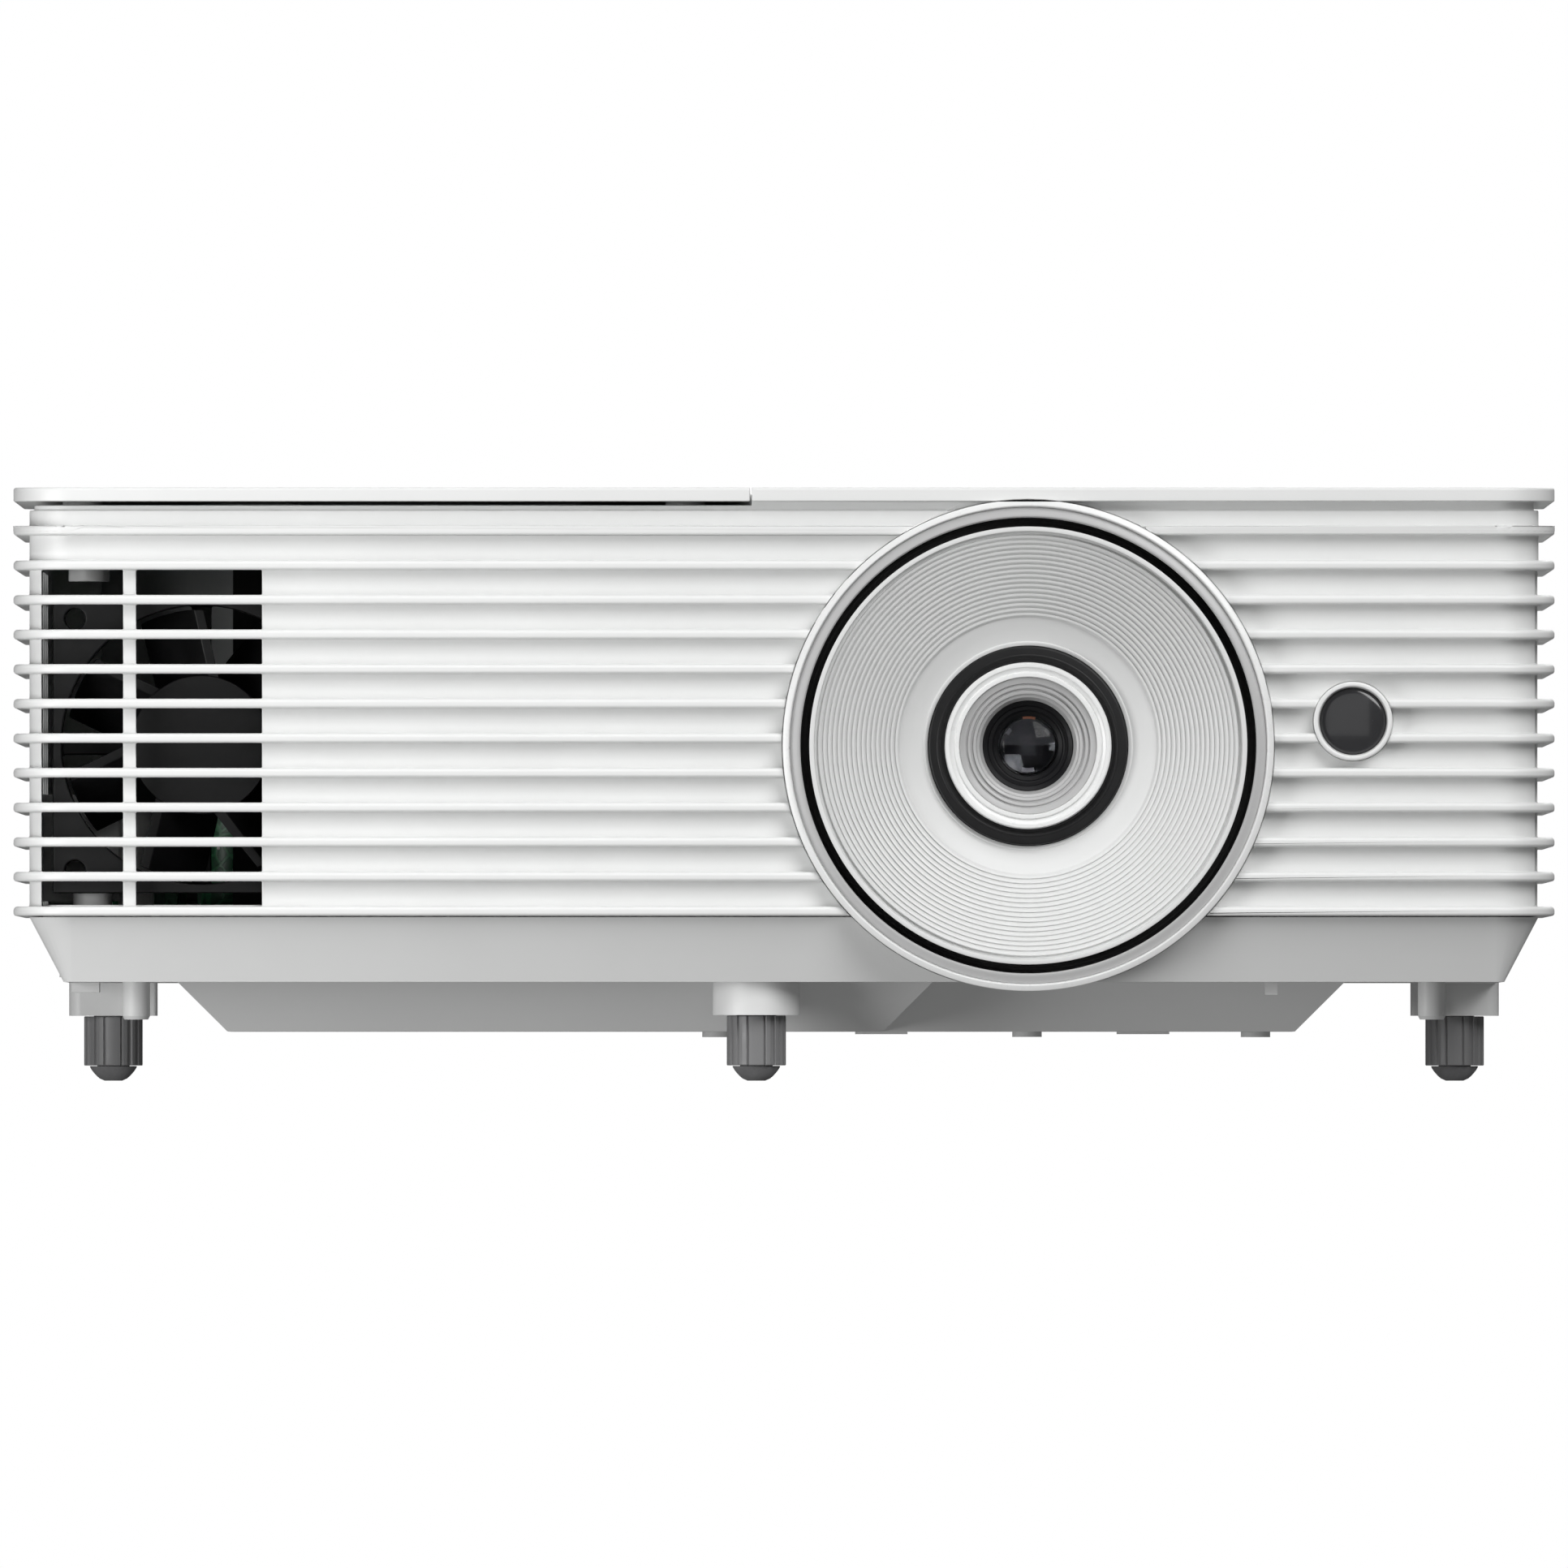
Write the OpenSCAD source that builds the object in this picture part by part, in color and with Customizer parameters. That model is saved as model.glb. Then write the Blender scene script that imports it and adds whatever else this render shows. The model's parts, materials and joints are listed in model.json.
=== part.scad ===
// Home projector: ribbed case, top-access zoom and focus rings, three screw feet.
// Units are millimetres. The lens looks along -Y, +X is the case's right as seen from
// the front, and the origin is the middle of the footprint at the foot tips.

/* [Case] */
// Overall width across the ribs
case_w = 312; // [300:1:330]
// Overall depth, lens bezel to rear ribs
case_d = 222; // [215:1:240]
// Overall height on the retracted feet
case_h = 120; // [118:0.5:126]
// How far the ribs stand out of the walls
rib_reach = 3.3; // [2.5:0.1:3.6]
// Thickness of one rib
rib_t = 1.9; // [1.6:0.1:2.2]
// Distance from rib to rib
rib_pitch = 7; // [6.8:0.1:7.2]
// Wall thickness of the mouldings
wall_t = 2.4; // [2:0.1:2.6]
// Plan radius of the case corners at the ribs
corner_r = 12; // [10:0.5:14]
// Thickness of the top deck and the lamp cover
deck_t = 2.8; // [2.6:0.1:3]

/* [Lens] */
// Lens axis from the middle of the case
lens_x = 49.4; // [44:0.2:52]
// Lens axis above the foot tips
lens_z = 67.8; // [66:0.2:69]
// Outer radius of the lens bezel
bezel_r = 49.7; // [48:0.1:50]
// Radius of the grip on the focus and zoom rings
grip_r = 33; // [30:0.5:34]

/* [Feet] */
// Radius of the foot grip
foot_r = 6; // [5:0.25:7]

/* [Buttons] */
// Travel of one keypad button
key_travel = 0.8; // [0.5:0.1:1]

/* [Hidden] */
$fn = 96;
eps = 0.05;

// Plan of the case. The bezel is the foremost piece, and the ribs are the rearmost.
bezel_proud = 1.5;
x_out = case_w / 2;
y_rear = case_d / 2;
y_front = -case_d / 2 + bezel_proud;
y_bezel = -case_d / 2;
wall_in = rib_reach + wall_t;
x_wall = x_out - rib_reach;
x_in = x_out - wall_in;
y_wall_front = y_front + rib_reach;
y_in_front = y_front + wall_in;
y_in_rear = y_rear - wall_in;

// Heights
z_deck = case_h - deck_t;
z_neck = z_deck - 1.8;
z_tray = z_deck - 0.8;
tray_t = 2.4;
n_ribs = 12;
z_rib0 = 34.3;
z_seam = z_rib0 - rib_t / 2;
z_case_joint = z_seam - 0.25;
z_base = 20;
z_belly = 10;
z_collar = 13.3;
taper = 6.9;
function rib_z(i) = z_rib0 + rib_pitch * i;

// Lamp cover: the left part of the top, split from the deck along an L-shaped seam
seam_x = -6.5;
seam_y = 60;
seam_gap = 0.4;
seam_wall = 2.4;
lamp_y = 0;
cover_pegs = [[-142, -92], [-20, -92], [-20, 48]];
cover_screw_at = [-142, 48];

// Front vents as [left, right] pairs, side vents as [front, rear] pairs
front_vents = [[-150.2, -133.7], [-131.05, -105.6]];
right_vents = [[-100.8, -76], [-73.4, -48], [-45.4, -20], [4, 28], [30.6, 52]];
left_vents = [[-66, -40], [-37.4, -12], [-9.4, 16], [18.6, 44]];

// Rear opening and the panel that closes it
rear_half_w = 136;
rear_z0 = 38;
rear_z1 = 109.5;
panel_t = 2;
panel_y = y_in_rear - 0.1;
port_z = 57;
board_z = 50.7;
function on_board(h) = board_z + 0.1 + h / 2;

// Front of the lens, radii outwards from the axis and depths along Y
dish_rim_r = 43.9;
dish_wide_r = 42.6;
dish_step_r = 25.8;
dish_hole_r = 20.6;
n_grooves = 17;
y_dish_rim = -109.8;
y_dish_wide = -109.2;
y_dish_step = -96;
y_dish_hole = -94.4;
focus_tube_r = 20.2;
cell_r = 16.88;
sleeve_r = 16.95;

// Window over the rings
win_x = [27, 72];
win_y = [-88, -46];

// Feet: [x, y] of the screws
foot_drop = 0.1;
screw_r = 3.95;
screw_bore_r = 4;
feet = [[-5.6, -88], [-137.4, 88], [137.4, 88]];
grip_gaps = [16.5, 35.6, 54.4, 73.5];
collar_half = 9;
collar_step = 2.7;
case_bosses = [[-132.2, 74], [132.2, 74], [-131.3, -74], [131.3, -74]];
case_boss_r = 2.8;
screw_head_r = 1.9;

// Ceiling mount bosses
ceiling_at = [[-13.7, 40], [49.4, -30], [96.3, 40]];
insert_r = 2;

// Infrared receiver
ir_x = 115.1;
ir_z = 72.7;
ir_r = 8;

// Keypad
pad = [[28, 38], [124, 86]];
pad_r = 6;
pad_drop = 0.8;
pad_t = 1.2;
ring_at = [84, 62];
power_at = [46, 62];
menu_at = [113, 72];
source_at = [113, 52];
light_at = [[40, 47], [46, 47], [52, 47]];
board_top_z = 112.2;
board_posts = [[34, 44], [118, 44], [34, 80], [118, 80]];

// Standoffs in the lower case as [x, y, radius, bottom, top]
standoffs = [[-104, -28, 4, 11, 29.9], [-104, 28, 4, 11, 29.9], [-58, -28, 4, 11, 29.9],
    [-58, 28, 4, 11, 29.9], [-118, 94, 3, 21, 27.9], [-26, 94, 3, 21, 27.9],
    [-144, -60, 3, 21, 26.9], [-144, 34, 3, 21, 26.9], [-12, 61, 3.5, 11, 49],
    [116, 61, 3.5, 21, 49], [-140, -90, 4, 21, 37.9], [-96, -90, 4, 21, 37.9],
    [-80, -56, 5, 11, 40.9]];

white = "whitesmoke";

// ---- Shared shapes -------------------------------------------------------------------

// Rectangle with round corners, made of circles so that its corners stay true arcs
module round_rect(x0, y0, x1, y1, r) {
    translate([x0 + r, y0]) square([x1 - x0 - 2 * r, y1 - y0]);
    translate([x0, y0 + r]) square([x1 - x0, y1 - y0 - 2 * r]);
    for (x = [x0 + r, x1 - r], y = [y0 + r, y1 - r]) translate([x, y]) circle(r = r);
}

// Plan of the case, inset from the rib edges
module plan(inset) {
    round_rect(-x_out + inset, y_front + inset, x_out - inset, y_rear - inset,
        corner_r - inset);
}

module plan_ring(outer, inner) {
    difference() {
        plan(outer);
        plan(inner);
    }
}

// Slab between two heights
module slab(z0, z1) {
    translate([0, 0, z0]) linear_extrude(z1 - z0) children();
}

// Box between two corners
module block(a, b) {
    translate(a) cube(b - a);
}

// Cylinder along +Y between two depths, at [x, z]
module rod_y(at, r, y0, y1) {
    translate([at[0], y0, at[1]]) rotate([-90, 0, 0]) cylinder(r = r, h = y1 - y0);
}

// Cylinder along +X between two places, at [y, z]
module rod_x(at, r, x0, x1) {
    translate([x0, at[0], at[1]]) rotate([0, 90, 0]) cylinder(r = r, h = x1 - x0);
}

// Vertical cylinder
module post(at, r, z0, z1) {
    translate([at[0], at[1], z0]) cylinder(r = r, h = z1 - z0);
}

// Turned part about the lens axis, from points of [radius, y]
module lens_turned(points) {
    translate([lens_x, 0, lens_z]) rotate([-90, 0, 0]) rotate_extrude()
        polygon(points);
}

// Ring about the lens axis
module lens_ring(r_out, r_in, y0, y1) {
    difference() {
        rod_y([lens_x, lens_z], r_out, y0, y1);
        rod_y([lens_x, lens_z], r_in, y0 - 1, y1 + 1);
    }
}

// ---- Case ----------------------------------------------------------------------------

module case_walls() {
    difference() {
        slab(z_seam, z_neck) plan_ring(rib_reach, wall_in);
        for (v = front_vents)
            block([v[0], y_front, z_seam + rib_t], [v[1], -96, rib_z(10) - rib_t / 2]);
        for (v = right_vents)
            block([x_in - 4, v[0], z_seam + rib_t], [x_out, v[1], rib_z(10) - rib_t / 2]);
        for (v = left_vents)
            block([-x_out, v[0], z_seam + rib_t], [-x_in + 4, v[1], rib_z(10) - rib_t / 2]);
    }
}

module case_ribs() {
    for (i = [0:n_ribs - 1]) slab(rib_z(i) - rib_t / 2, rib_z(i) + rib_t / 2)
        plan_ring(0, rib_reach + 1.2);
}

// Fixed part of the top: right of the seam and behind it
module deck_region() {
    translate([seam_x, -case_d]) square([case_w, 2 * case_d]);
    translate([-case_w, seam_y]) square([2 * case_w, case_d]);
}

module case_top() {
    slab(z_deck, case_h) intersection() {
        plan(0);
        deck_region();
    }
    slab(z_neck - tray_t / 2, z_deck + eps) intersection() {
        plan_ring(rib_reach + 1, wall_in);
        deck_region();
    }
    slab(z_tray - tray_t, z_tray) difference() {
        intersection() {
            plan(rib_reach + 1);
            translate([-case_w, -case_d])
                square([case_w + seam_x + seam_wall, case_d + seam_y + seam_wall]);
        }
        translate([-118, lamp_y - 45]) square([76, 90]);
    }
    block([seam_x, y_in_front - 1, z_tray - tray_t],
        [seam_x + seam_wall, seam_y + seam_wall, z_deck + eps]);
    block([-x_in - 1, seam_y, z_tray - tray_t],
        [seam_x + seam_wall, seam_y + seam_wall, z_deck + eps]);
}

// Funnel under the window, down to the rings
module window_liner() {
    t = 1.6;
    difference() {
        block([win_x[0] - t, win_y[0] - t, 84], [win_x[1] + t, win_y[1] + t, z_deck + eps]);
        block([win_x[0], win_y[0], 80], [win_x[1], win_y[1], case_h]);
        rod_y([lens_x, lens_z], grip_r + 1, -95, -40);
    }
}

module upper_case() {
    color(white) difference() {
        union() {
            case_walls();
            case_ribs();
            case_top();
            window_liner();
            for (b = case_bosses) {
                side = sign(b[0]);
                post(b, 3.6, z_seam, 58);
                block([min(b[0], side * (x_in + 1)), b[1] - 1, z_seam + 3],
                    [max(b[0], side * (x_in + 1)), b[1] + 1, 58]);
            }
            post(cover_screw_at, 4.2, 102, z_tray - eps);
            for (b = board_posts) post(b, 3, board_top_z, z_deck + eps);
            // pads that carry the speaker and pegs that carry the receiver's board
            for (y = [0, 52]) block([143, y, 60], [x_in + 1, y + 4, 76]);
            for (d = [-1, 1]) rod_y([ir_x + 10 * d, ir_z + 7 * d], 1.5, y_in_front - 1, -97.4);
        }
        // lens bezel, receiver and rear panel
        rod_y([lens_x, lens_z], bezel_r + 0.1, y_bezel - 1, -98);
        rod_y([ir_x, ir_z], ir_r + 0.05, y_bezel - 1, -98);
        block([-rear_half_w, y_in_rear - 1, rear_z0], [rear_half_w, y_rear + 1, rear_z1]);
        // window, keypad pocket and the holes under it
        block([win_x[0], win_y[0], z_neck], [win_x[1], win_y[1], case_h + 1]);
        slab(case_h - pad_drop - pad_t, case_h + 1)
            round_rect(pad[0][0], pad[0][1], pad[1][0], pad[1][1], pad_r);
        slab(z_neck, case_h) key_holes();
        // screw bores
        for (b = case_bosses) post(b, 1.6, z_seam - 1, 52);
        for (p = cover_pegs) post(p, 2.3, z_tray - 6, z_tray + 1);
        post(cover_screw_at, 1.6, 101, z_tray + 1);
    }
}

// Tapered pan with round corners, from the case joint down to the base
module pan(inset) {
    hull() {
        slab(z_case_joint - 0.01, z_case_joint) plan($fn = 32, rib_reach + inset);
        slab(z_base + inset, z_base + inset + 0.01)
            plan($fn = 32, rib_reach + taper * (1 - inset / 26) + inset);
    }
}

// Deeper floor under the optics: a frustum with 45 degree sides
module belly(x0, x1, y0, y1, lift) {
    drop = z_base - z_belly;
    hull() {
        block([x0 + lift, y0 + lift, z_base + 3], [x1 - lift, y1 - lift, z_base + 3.01]);
        block([x0 + lift, y0 + lift, z_base], [x1 - lift, y1 - lift, z_base + 0.01]);
        block([x0 + drop, y0 + drop, z_belly + lift],
            [x1 - drop, y1 - drop, z_belly + lift + 0.01]);
    }
}

module foot_tower(at) {
    post(at, 7, z_base, 36);
}

// Square collar round a rear foot, with a step forward on its inner side
module rear_collar(at) {
    side = sign(at[0]);
    step_x = [at[0] - side * collar_half, at[0] - side * collar_step];
    slab(z_collar, z_base + 1) {
        round_rect(at[0] - collar_half, at[1] - collar_half, at[0] + collar_half,
            at[1] + collar_half, 2.5);
        round_rect(min(step_x), at[1] - collar_half - 2.6, max(step_x), at[1], 0.8);
    }
}

module lower_case() {
    color("gainsboro") difference() {
        union() {
            difference() {
                union() {
                    pan(0);
                    belly(-122.9, 30.1, -78, 66, 0);
                    belly(9, 113.8, -52, 66, 0);
                }
                pan(wall_t);
                belly(-122.9, 30.1, -78, 66, wall_t);
                belly(9, 113.8, -52, 66, wall_t);
            }
            for (f = feet) foot_tower(f);
            post(feet[0], collar_half - 0.2, z_collar, z_base + 1);
            for (i = [1, 2]) rear_collar(feet[i]);
            for (i = [2, 3]) {
                post(case_bosses[i], case_boss_r, 13.1, z_base + 1);
                translate([case_bosses[i][0], case_bosses[i][1], 12.4])
                    cylinder(r1 = case_boss_r - 0.4, r2 = case_boss_r, h = 0.7 + eps);
            }
            for (b = case_bosses) post(b, 4.5, z_base, z_case_joint);
            for (c = ceiling_at) {
                post(c, 3, z_belly - 1.1, z_belly + 2);
                post(c, 5, z_belly + 1, 20);
            }
            for (s = standoffs) post([s[0], s[1]], s[2], s[3], s[4]);
            // tongue that locates the upper case
            slab(z_case_joint - 3, z_seam + 2.2) plan_ring(wall_in + 0.3, wall_in + 1.7);
            slab(z_case_joint - 3, z_case_joint - 0.4) plan_ring(rib_reach + 1.7, wall_in + 1);
            // moulded pads and tab
            block([14.5, 20, z_belly - 0.5], [25.2, 34, z_belly + 1]);
            block([67.9, 20, z_belly - 0.5], [78.6, 34, z_belly + 1]);
            block([97.4, -93, 17.4], [99.9, -88, z_base + 1]);
            block([-145, -12, z_base - 2], [-139.4, 12, z_base + 1]);
        }
        rod_y([lens_x, lens_z], bezel_r + 0.1, y_bezel - 1, -98);
        for (f = feet) post(f, screw_bore_r, z_collar - 1, 35);
        for (b = case_bosses) {
            post(b, 1.6, 10, z_case_joint + 1);
            post(b, screw_head_r + 0.25, 10, 25);
        }
        for (c = ceiling_at) post(c, insert_r + 0.6, z_belly - 2, 18.5);
    }
}

module rear_panel() {
    color("silver") difference() {
        block([-rear_half_w - 4, panel_y - panel_t, rear_z0 - 1.2],
            [rear_half_w + 4, panel_y, rear_z1 + 3]);
        block([-132, 90, port_z - 10], [-104, 112, port_z + 10]);
        for (x = dsub_x) {
            rear_hole(x, 17.4, 8.8, port_z);
            for (s = [-12.5, 12.5]) rod_y([x + s, port_z], 1.6, 90, 112);
        }
        for (x = hdmi_x) rear_hole(x, 15.4, 6, on_board(5.6));
        rear_hole(usb_x, 13.6, 6.4, on_board(6));
        for (x = jack_x) rod_y([x, port_z], 3.15, 90, 112);
        rod_y([video_x, port_z], 4.25, 90, 112);
        rear_hole(lock_x, 7, 3, port_z);
        // cooling slots
        for (i = [0:4], x = [-96:34:108])
            block([x, 90, 76 + 6 * i], [x + 28, 112, 79 + 6 * i]);
    }
}
dsub_x = [-62, -26, 10];
hdmi_x = [38, 58];
usb_x = 77;
jack_x = [92, 101];
video_x = 113;
lock_x = 127;

module rear_hole(x, w, h, z) {
    block([x - w / 2, 90, z - h / 2], [x + w / 2, 112, z + h / 2]);
}

// ---- Lens front ----------------------------------------------------------------------

module lens_bezel() {
    color(white) difference() {
        lens_turned([[46, -99], [bezel_r, -99], [bezel_r, y_bezel + 0.5],
            [bezel_r - 0.5, y_bezel], [bezel_r - 1.6, y_bezel], [46, y_bezel + 2.2]]);
        block([lens_x - 40, y_bezel - 1, z_deck - 0.1], [lens_x + 40, -90, case_h + 5]);
    }
}

module bezel_gasket() {
    color("black") lens_ring(46, dish_rim_r, -107, -101);
}

// Funnel in front of the lens, with turned grooves on its steep part
module lens_dish() {
    step = (dish_wide_r - dish_step_r) / n_grooves;
    rise = (y_dish_step - y_dish_wide) / n_grooves;
    grooves = [for (i = [0:n_grooves - 1]) each [
        [dish_wide_r - i * step, y_dish_wide + i * rise],
        [dish_wide_r - (i + 0.45) * step, y_dish_wide + (i + 0.8) * rise]]];
    color("white") lens_turned(concat(
        [[dish_rim_r, -101], [dish_rim_r, y_dish_rim], [dish_wide_r + 0.5, y_dish_rim]],
        grooves,
        [[dish_step_r, y_dish_step], [dish_hole_r, y_dish_hole],
            [dish_hole_r, y_dish_hole + 2.4], [dish_step_r, y_dish_step + 2.6],
            [dish_wide_r - 0.4, -105], [dish_wide_r - 0.4, -101]]));
}

module ir_bezel() {
    color(white) difference() {
        union() {
            rod_y([ir_x, ir_z], ir_r, y_front - 0.4, y_in_front + 0.1);
            rod_y([ir_x, ir_z], ir_r + 2, y_in_front + 0.1, y_in_front + 1.3);
        }
        rod_y([ir_x, ir_z], 6.8, y_bezel - 1, y_in_front + 2);
    }
}

module ir_window() {
    color([0.12, 0.12, 0.13]) union() {
        rod_y([ir_x, ir_z], 6.7, y_front + 0.3, y_in_front + 1.3);
        rod_y([ir_x, ir_z], 8.5, y_in_front + 1.3, y_in_front + 2.3);
    }
}

module ir_receiver_board() {
    color("darkgreen") union() {
        block([ir_x - 11, -97.4, ir_z - 8], [ir_x + 11, -95.8, ir_z + 8]);
        block([ir_x - 3, -100.4, ir_z - 3.5], [ir_x + 3, -97.4, ir_z + 3.5]);
    }
}

// ---- Lamp cover ----------------------------------------------------------------------

module lamp_cover() {
    color(white) difference() {
        union() {
            slab(z_deck, case_h) intersection() {
                plan(0);
                translate([-case_w, -case_d])
                    square([case_w + seam_x - seam_gap, case_d + seam_y - seam_gap]);
            }
            for (p = cover_pegs) {
                post(p, 2, z_tray - 5, z_deck + eps);
                post(p, 4, z_tray, z_deck + eps);
            }
            post(cover_screw_at, 4.2, z_tray, z_deck + eps);
            // stiffening ribs that drop into the lamp opening
            for (x = [-100, -60]) block([x, -40, z_tray - 4], [x + 1.5, 40, z_deck + eps]);
        }
        post(cover_screw_at, 1.6, z_tray - 1, case_h);
        post(cover_screw_at, 3.1, case_h - 2, case_h + 1);
    }
}

// Pan-head screw pointing down, its head's top at z, with a cross recess
module screw_down(at, z, head_r, length) {
    difference() {
        union() {
            post(at, head_r, z - 1.7, z);
            post(at, 1.5, z - 1.7 - length, z - 1.6);
        }
        cross_recess(at, z - 0.9, z + 1);
    }
}

module cross_recess(at, z0, z1) {
    block([at[0] - 1.5, at[1] - 0.3, z0], [at[0] + 1.5, at[1] + 0.3, z1]);
    block([at[0] - 0.3, at[1] - 1.5, z0], [at[0] + 0.3, at[1] + 1.5, z1]);
}

module lamp_cover_screw() {
    color("silver") screw_down(cover_screw_at, case_h - 0.3, 2.9, 11);
}

// ---- Keypad --------------------------------------------------------------------------

// Outlines of the keys, grown by a clearance
module round_key(at, r, grow) {
    translate(at) circle(r = r + grow);
}

module pill_key(at, grow) {
    round_rect(at[0] - 7 - grow, at[1] - 3.5 - grow, at[0] + 7 + grow, at[1] + 3.5 + grow,
        3.4 + grow);
}

// Quarter of the arrow ring, centred on the given direction
module arrow_key(angle, grow) {
    reach = 30;
    half = 45;
    gap = 0.8 - grow;
    translate(ring_at) rotate(angle) difference() {
        intersection() {
            circle(r = 15 + grow);
            translate([gap * sqrt(2), 0])
                polygon([[0, 0], [reach, -reach], [reach, reach]]);
        }
        circle(r = 7.6 - grow);
    }
}

module key_shape(name, grow) {
    if (name == "power") round_key(power_at, 7, grow);
    if (name == "menu") pill_key(menu_at, grow);
    if (name == "source") pill_key(source_at, grow);
    if (name == "enter") round_key(ring_at, 6.4, grow);
    if (name == "right") arrow_key(0, grow);
    if (name == "up") arrow_key(90, grow);
    if (name == "left") arrow_key(180, grow);
    if (name == "down") arrow_key(270, grow);
}

key_names = ["power", "menu", "source", "enter", "right", "up", "left", "down"];
key_clear = 0.25;

module key_holes() {
    for (k = key_names) key_shape(k, key_clear);
    for (l = light_at) translate(l) circle(r = 1.3);
}

// Middle of a key's stem
function stem_at(name) =
    name == "power" ? power_at :
    name == "menu" ? menu_at :
    name == "source" ? source_at :
    name == "enter" ? ring_at :
    ring_at + 11.2 * (name == "right" ? [1, 0] : name == "up" ? [0, 1] :
        name == "left" ? [-1, 0] : [0, -1]);

module key(name, shade) {
    color(shade) union() {
        slab(z_deck - 1.2, case_h - 0.1) key_shape(name, 0);
        slab(z_deck - 1.6, z_deck - 0.3) key_shape(name, 0.45);
        post(stem_at(name), 1.5, board_top_z + key_travel + 0.3, z_deck - 1.5);
    }
}

module keypad_panel() {
    color("lightgray") slab(case_h - pad_drop - pad_t, case_h - pad_drop) difference() {
        round_rect(pad[0][0] + 0.15, pad[0][1] + 0.15, pad[1][0] - 0.15, pad[1][1] - 0.15,
            pad_r - 0.15);
        key_holes();
    }
}

module keypad_board() {
    color("darkgreen") difference() {
        union() {
            block([30, 40, board_top_z - 1.6], [122, 84, board_top_z]);
            for (k = key_names) {
                s = stem_at(k);
                block([s[0] - 2.5, s[1] - 2.5, board_top_z - eps], [s[0] + 2.5, s[1] + 2.5,
                    board_top_z + 0.25]);
            }
        }
        for (b = board_posts) post(b, 1.6, 100, 120);
    }
}

module status_lights() {
    color("powderblue") for (l = light_at) union() {
        post(l, 1.2, z_deck - 3, case_h - pad_drop + 0.1);
        post(l, 2, board_top_z, z_deck - 3);
    }
}

// ---- Lens and its rings --------------------------------------------------------------

// Grip with flutes around it
module grip(y0, y1, n) {
    difference() {
        lens_ring(grip_r, grip_r - 2.4, y0, y1);
        for (i = [0:n - 1])
            rod_y([lens_x + (grip_r + 0.5) * cos(360 * i / n),
                lens_z + (grip_r + 0.5) * sin(360 * i / n)], 1.1, y0 - 1, y1 + 1);
    }
}

module focus_ring() {
    color([0.15, 0.15, 0.15]) union() {
        lens_ring(focus_tube_r, sleeve_r, -96.4, -84.2);
        lens_turned([[19.3, -84.3], [grip_r - 2.3, -84.3], [grip_r - 2.3, -82.3],
            [21.3, -82.3], [21.3, -71], [19.3, -71]]);
        grip(-84.3, -71, 36);
    }
}

// Stepped front cell that slides inside the focus ring
module front_lens_cell() {
    color("silver") lens_turned([[cell_r, -76], [cell_r, -96.6], [cell_r - 0.4, -97],
        [15.9, -97], [15.7, -96.6], [15.4, -97], [14, -97], [13.6, -95.6], [12.9, -95.4],
        [12.7, -94.2], [12, -94], [11.8, -92.8], [11.2, -92.6], [11, -91.4], [10.3, -91.2],
        [10.1, -90.2], [9.5, -90], [9.5, -87.6], [12.4, -87.6], [12.4, -84.4],
        [14.6, -84.4], [14.6, -76]]);
}

module front_lens() {
    color([0.6, 0.65, 0.8, 0.5]) intersection() {
        rod_y([lens_x, lens_z], 12.2, -90, -84.6);
        union() {
            rod_y([lens_x, lens_z], 12.3, -87.5, -84.4);
            intersection() {
                translate([lens_x, -79.4, lens_z]) sphere(r = 10.4);
                rod_y([lens_x, lens_z], 9.3, -90, -86);
            }
        }
    }
}

module zoom_ring() {
    color([0.15, 0.15, 0.15]) union() {
        lens_turned([[19.3, -66], [21.3, -66], [21.3, -60], [grip_r - 2.3, -60],
            [grip_r - 2.3, -58], [21.3, -58], [21.3, -52], [19.3, -52]]);
        grip(-66, -52, 36);
        block([lens_x - 3.5, -62, lens_z + grip_r - 2], [lens_x + 3.5, -56,
            lens_z + grip_r + 11]);
        translate([lens_x, -62, lens_z + grip_r + 11]) rotate([-90, 0, 0])
            cylinder(r = 3.5, h = 6);
    }
}

module zoom_lens_cell() {
    color("dimgray") union() {
        lens_ring(cell_r, 14, -60, -46);
        rod_y([lens_x, lens_z], 14.1, -55, -51);
    }
}

module lens_barrel() {
    color("dimgray") difference() {
        union() {
            rod_y([lens_x, lens_z], 19.22, -82, -20.1);
            lens_ring(21.6, 18, -70.6, -66.4);
            rod_y([lens_x, lens_z], 32, -24, -20.1);
        }
        rod_y([lens_x, lens_z], sleeve_r, -83, -38);
        rod_y([lens_x, lens_z], 13, -39, -19);
        for (a = [45:90:315]) rod_y([lens_x + 27 * cos(a), lens_z + 27 * sin(a)], 1.7,
            -25, -19);
    }
}

module rear_lens_group() {
    color([0.6, 0.65, 0.8, 0.5]) union() {
        rod_y([lens_x, lens_z], 12.95, -36, -31);
        rod_y([lens_x, lens_z], 12.95, -29, -25);
    }
}

// ---- Light engine --------------------------------------------------------------------

module engine_housing() {
    x0 = 14;
    x1 = 96;
    color("silver") difference() {
        union() {
            block([x0, -20, 34], [x1, 20, 104]);
            rod_x([0, lens_z], 15, -4, x0 + 1);
            for (x = [x0 + 8, x1 - 8], y = [-12, 12]) post([x, y], 5, z_belly + 2.6, 35);
        }
        block([x0 + 3, -17, 37], [x1 - 3, 17, 101]);
        rod_y([lens_x, lens_z], 13, -21, -16);
        rod_y([lens_x, lens_z], 15, 16, 21);
        rod_x([0, lens_z], 12, -5, x0 + 4);
        for (a = [45:90:315]) rod_y([lens_x + 27 * cos(a), lens_z + 27 * sin(a)], 1.4,
            -21, -16);
        for (x = [x0 + 8, x1 - 8], y = [-12, 12]) post([x, y], 1.6, 0, 30);
    }
}

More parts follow.
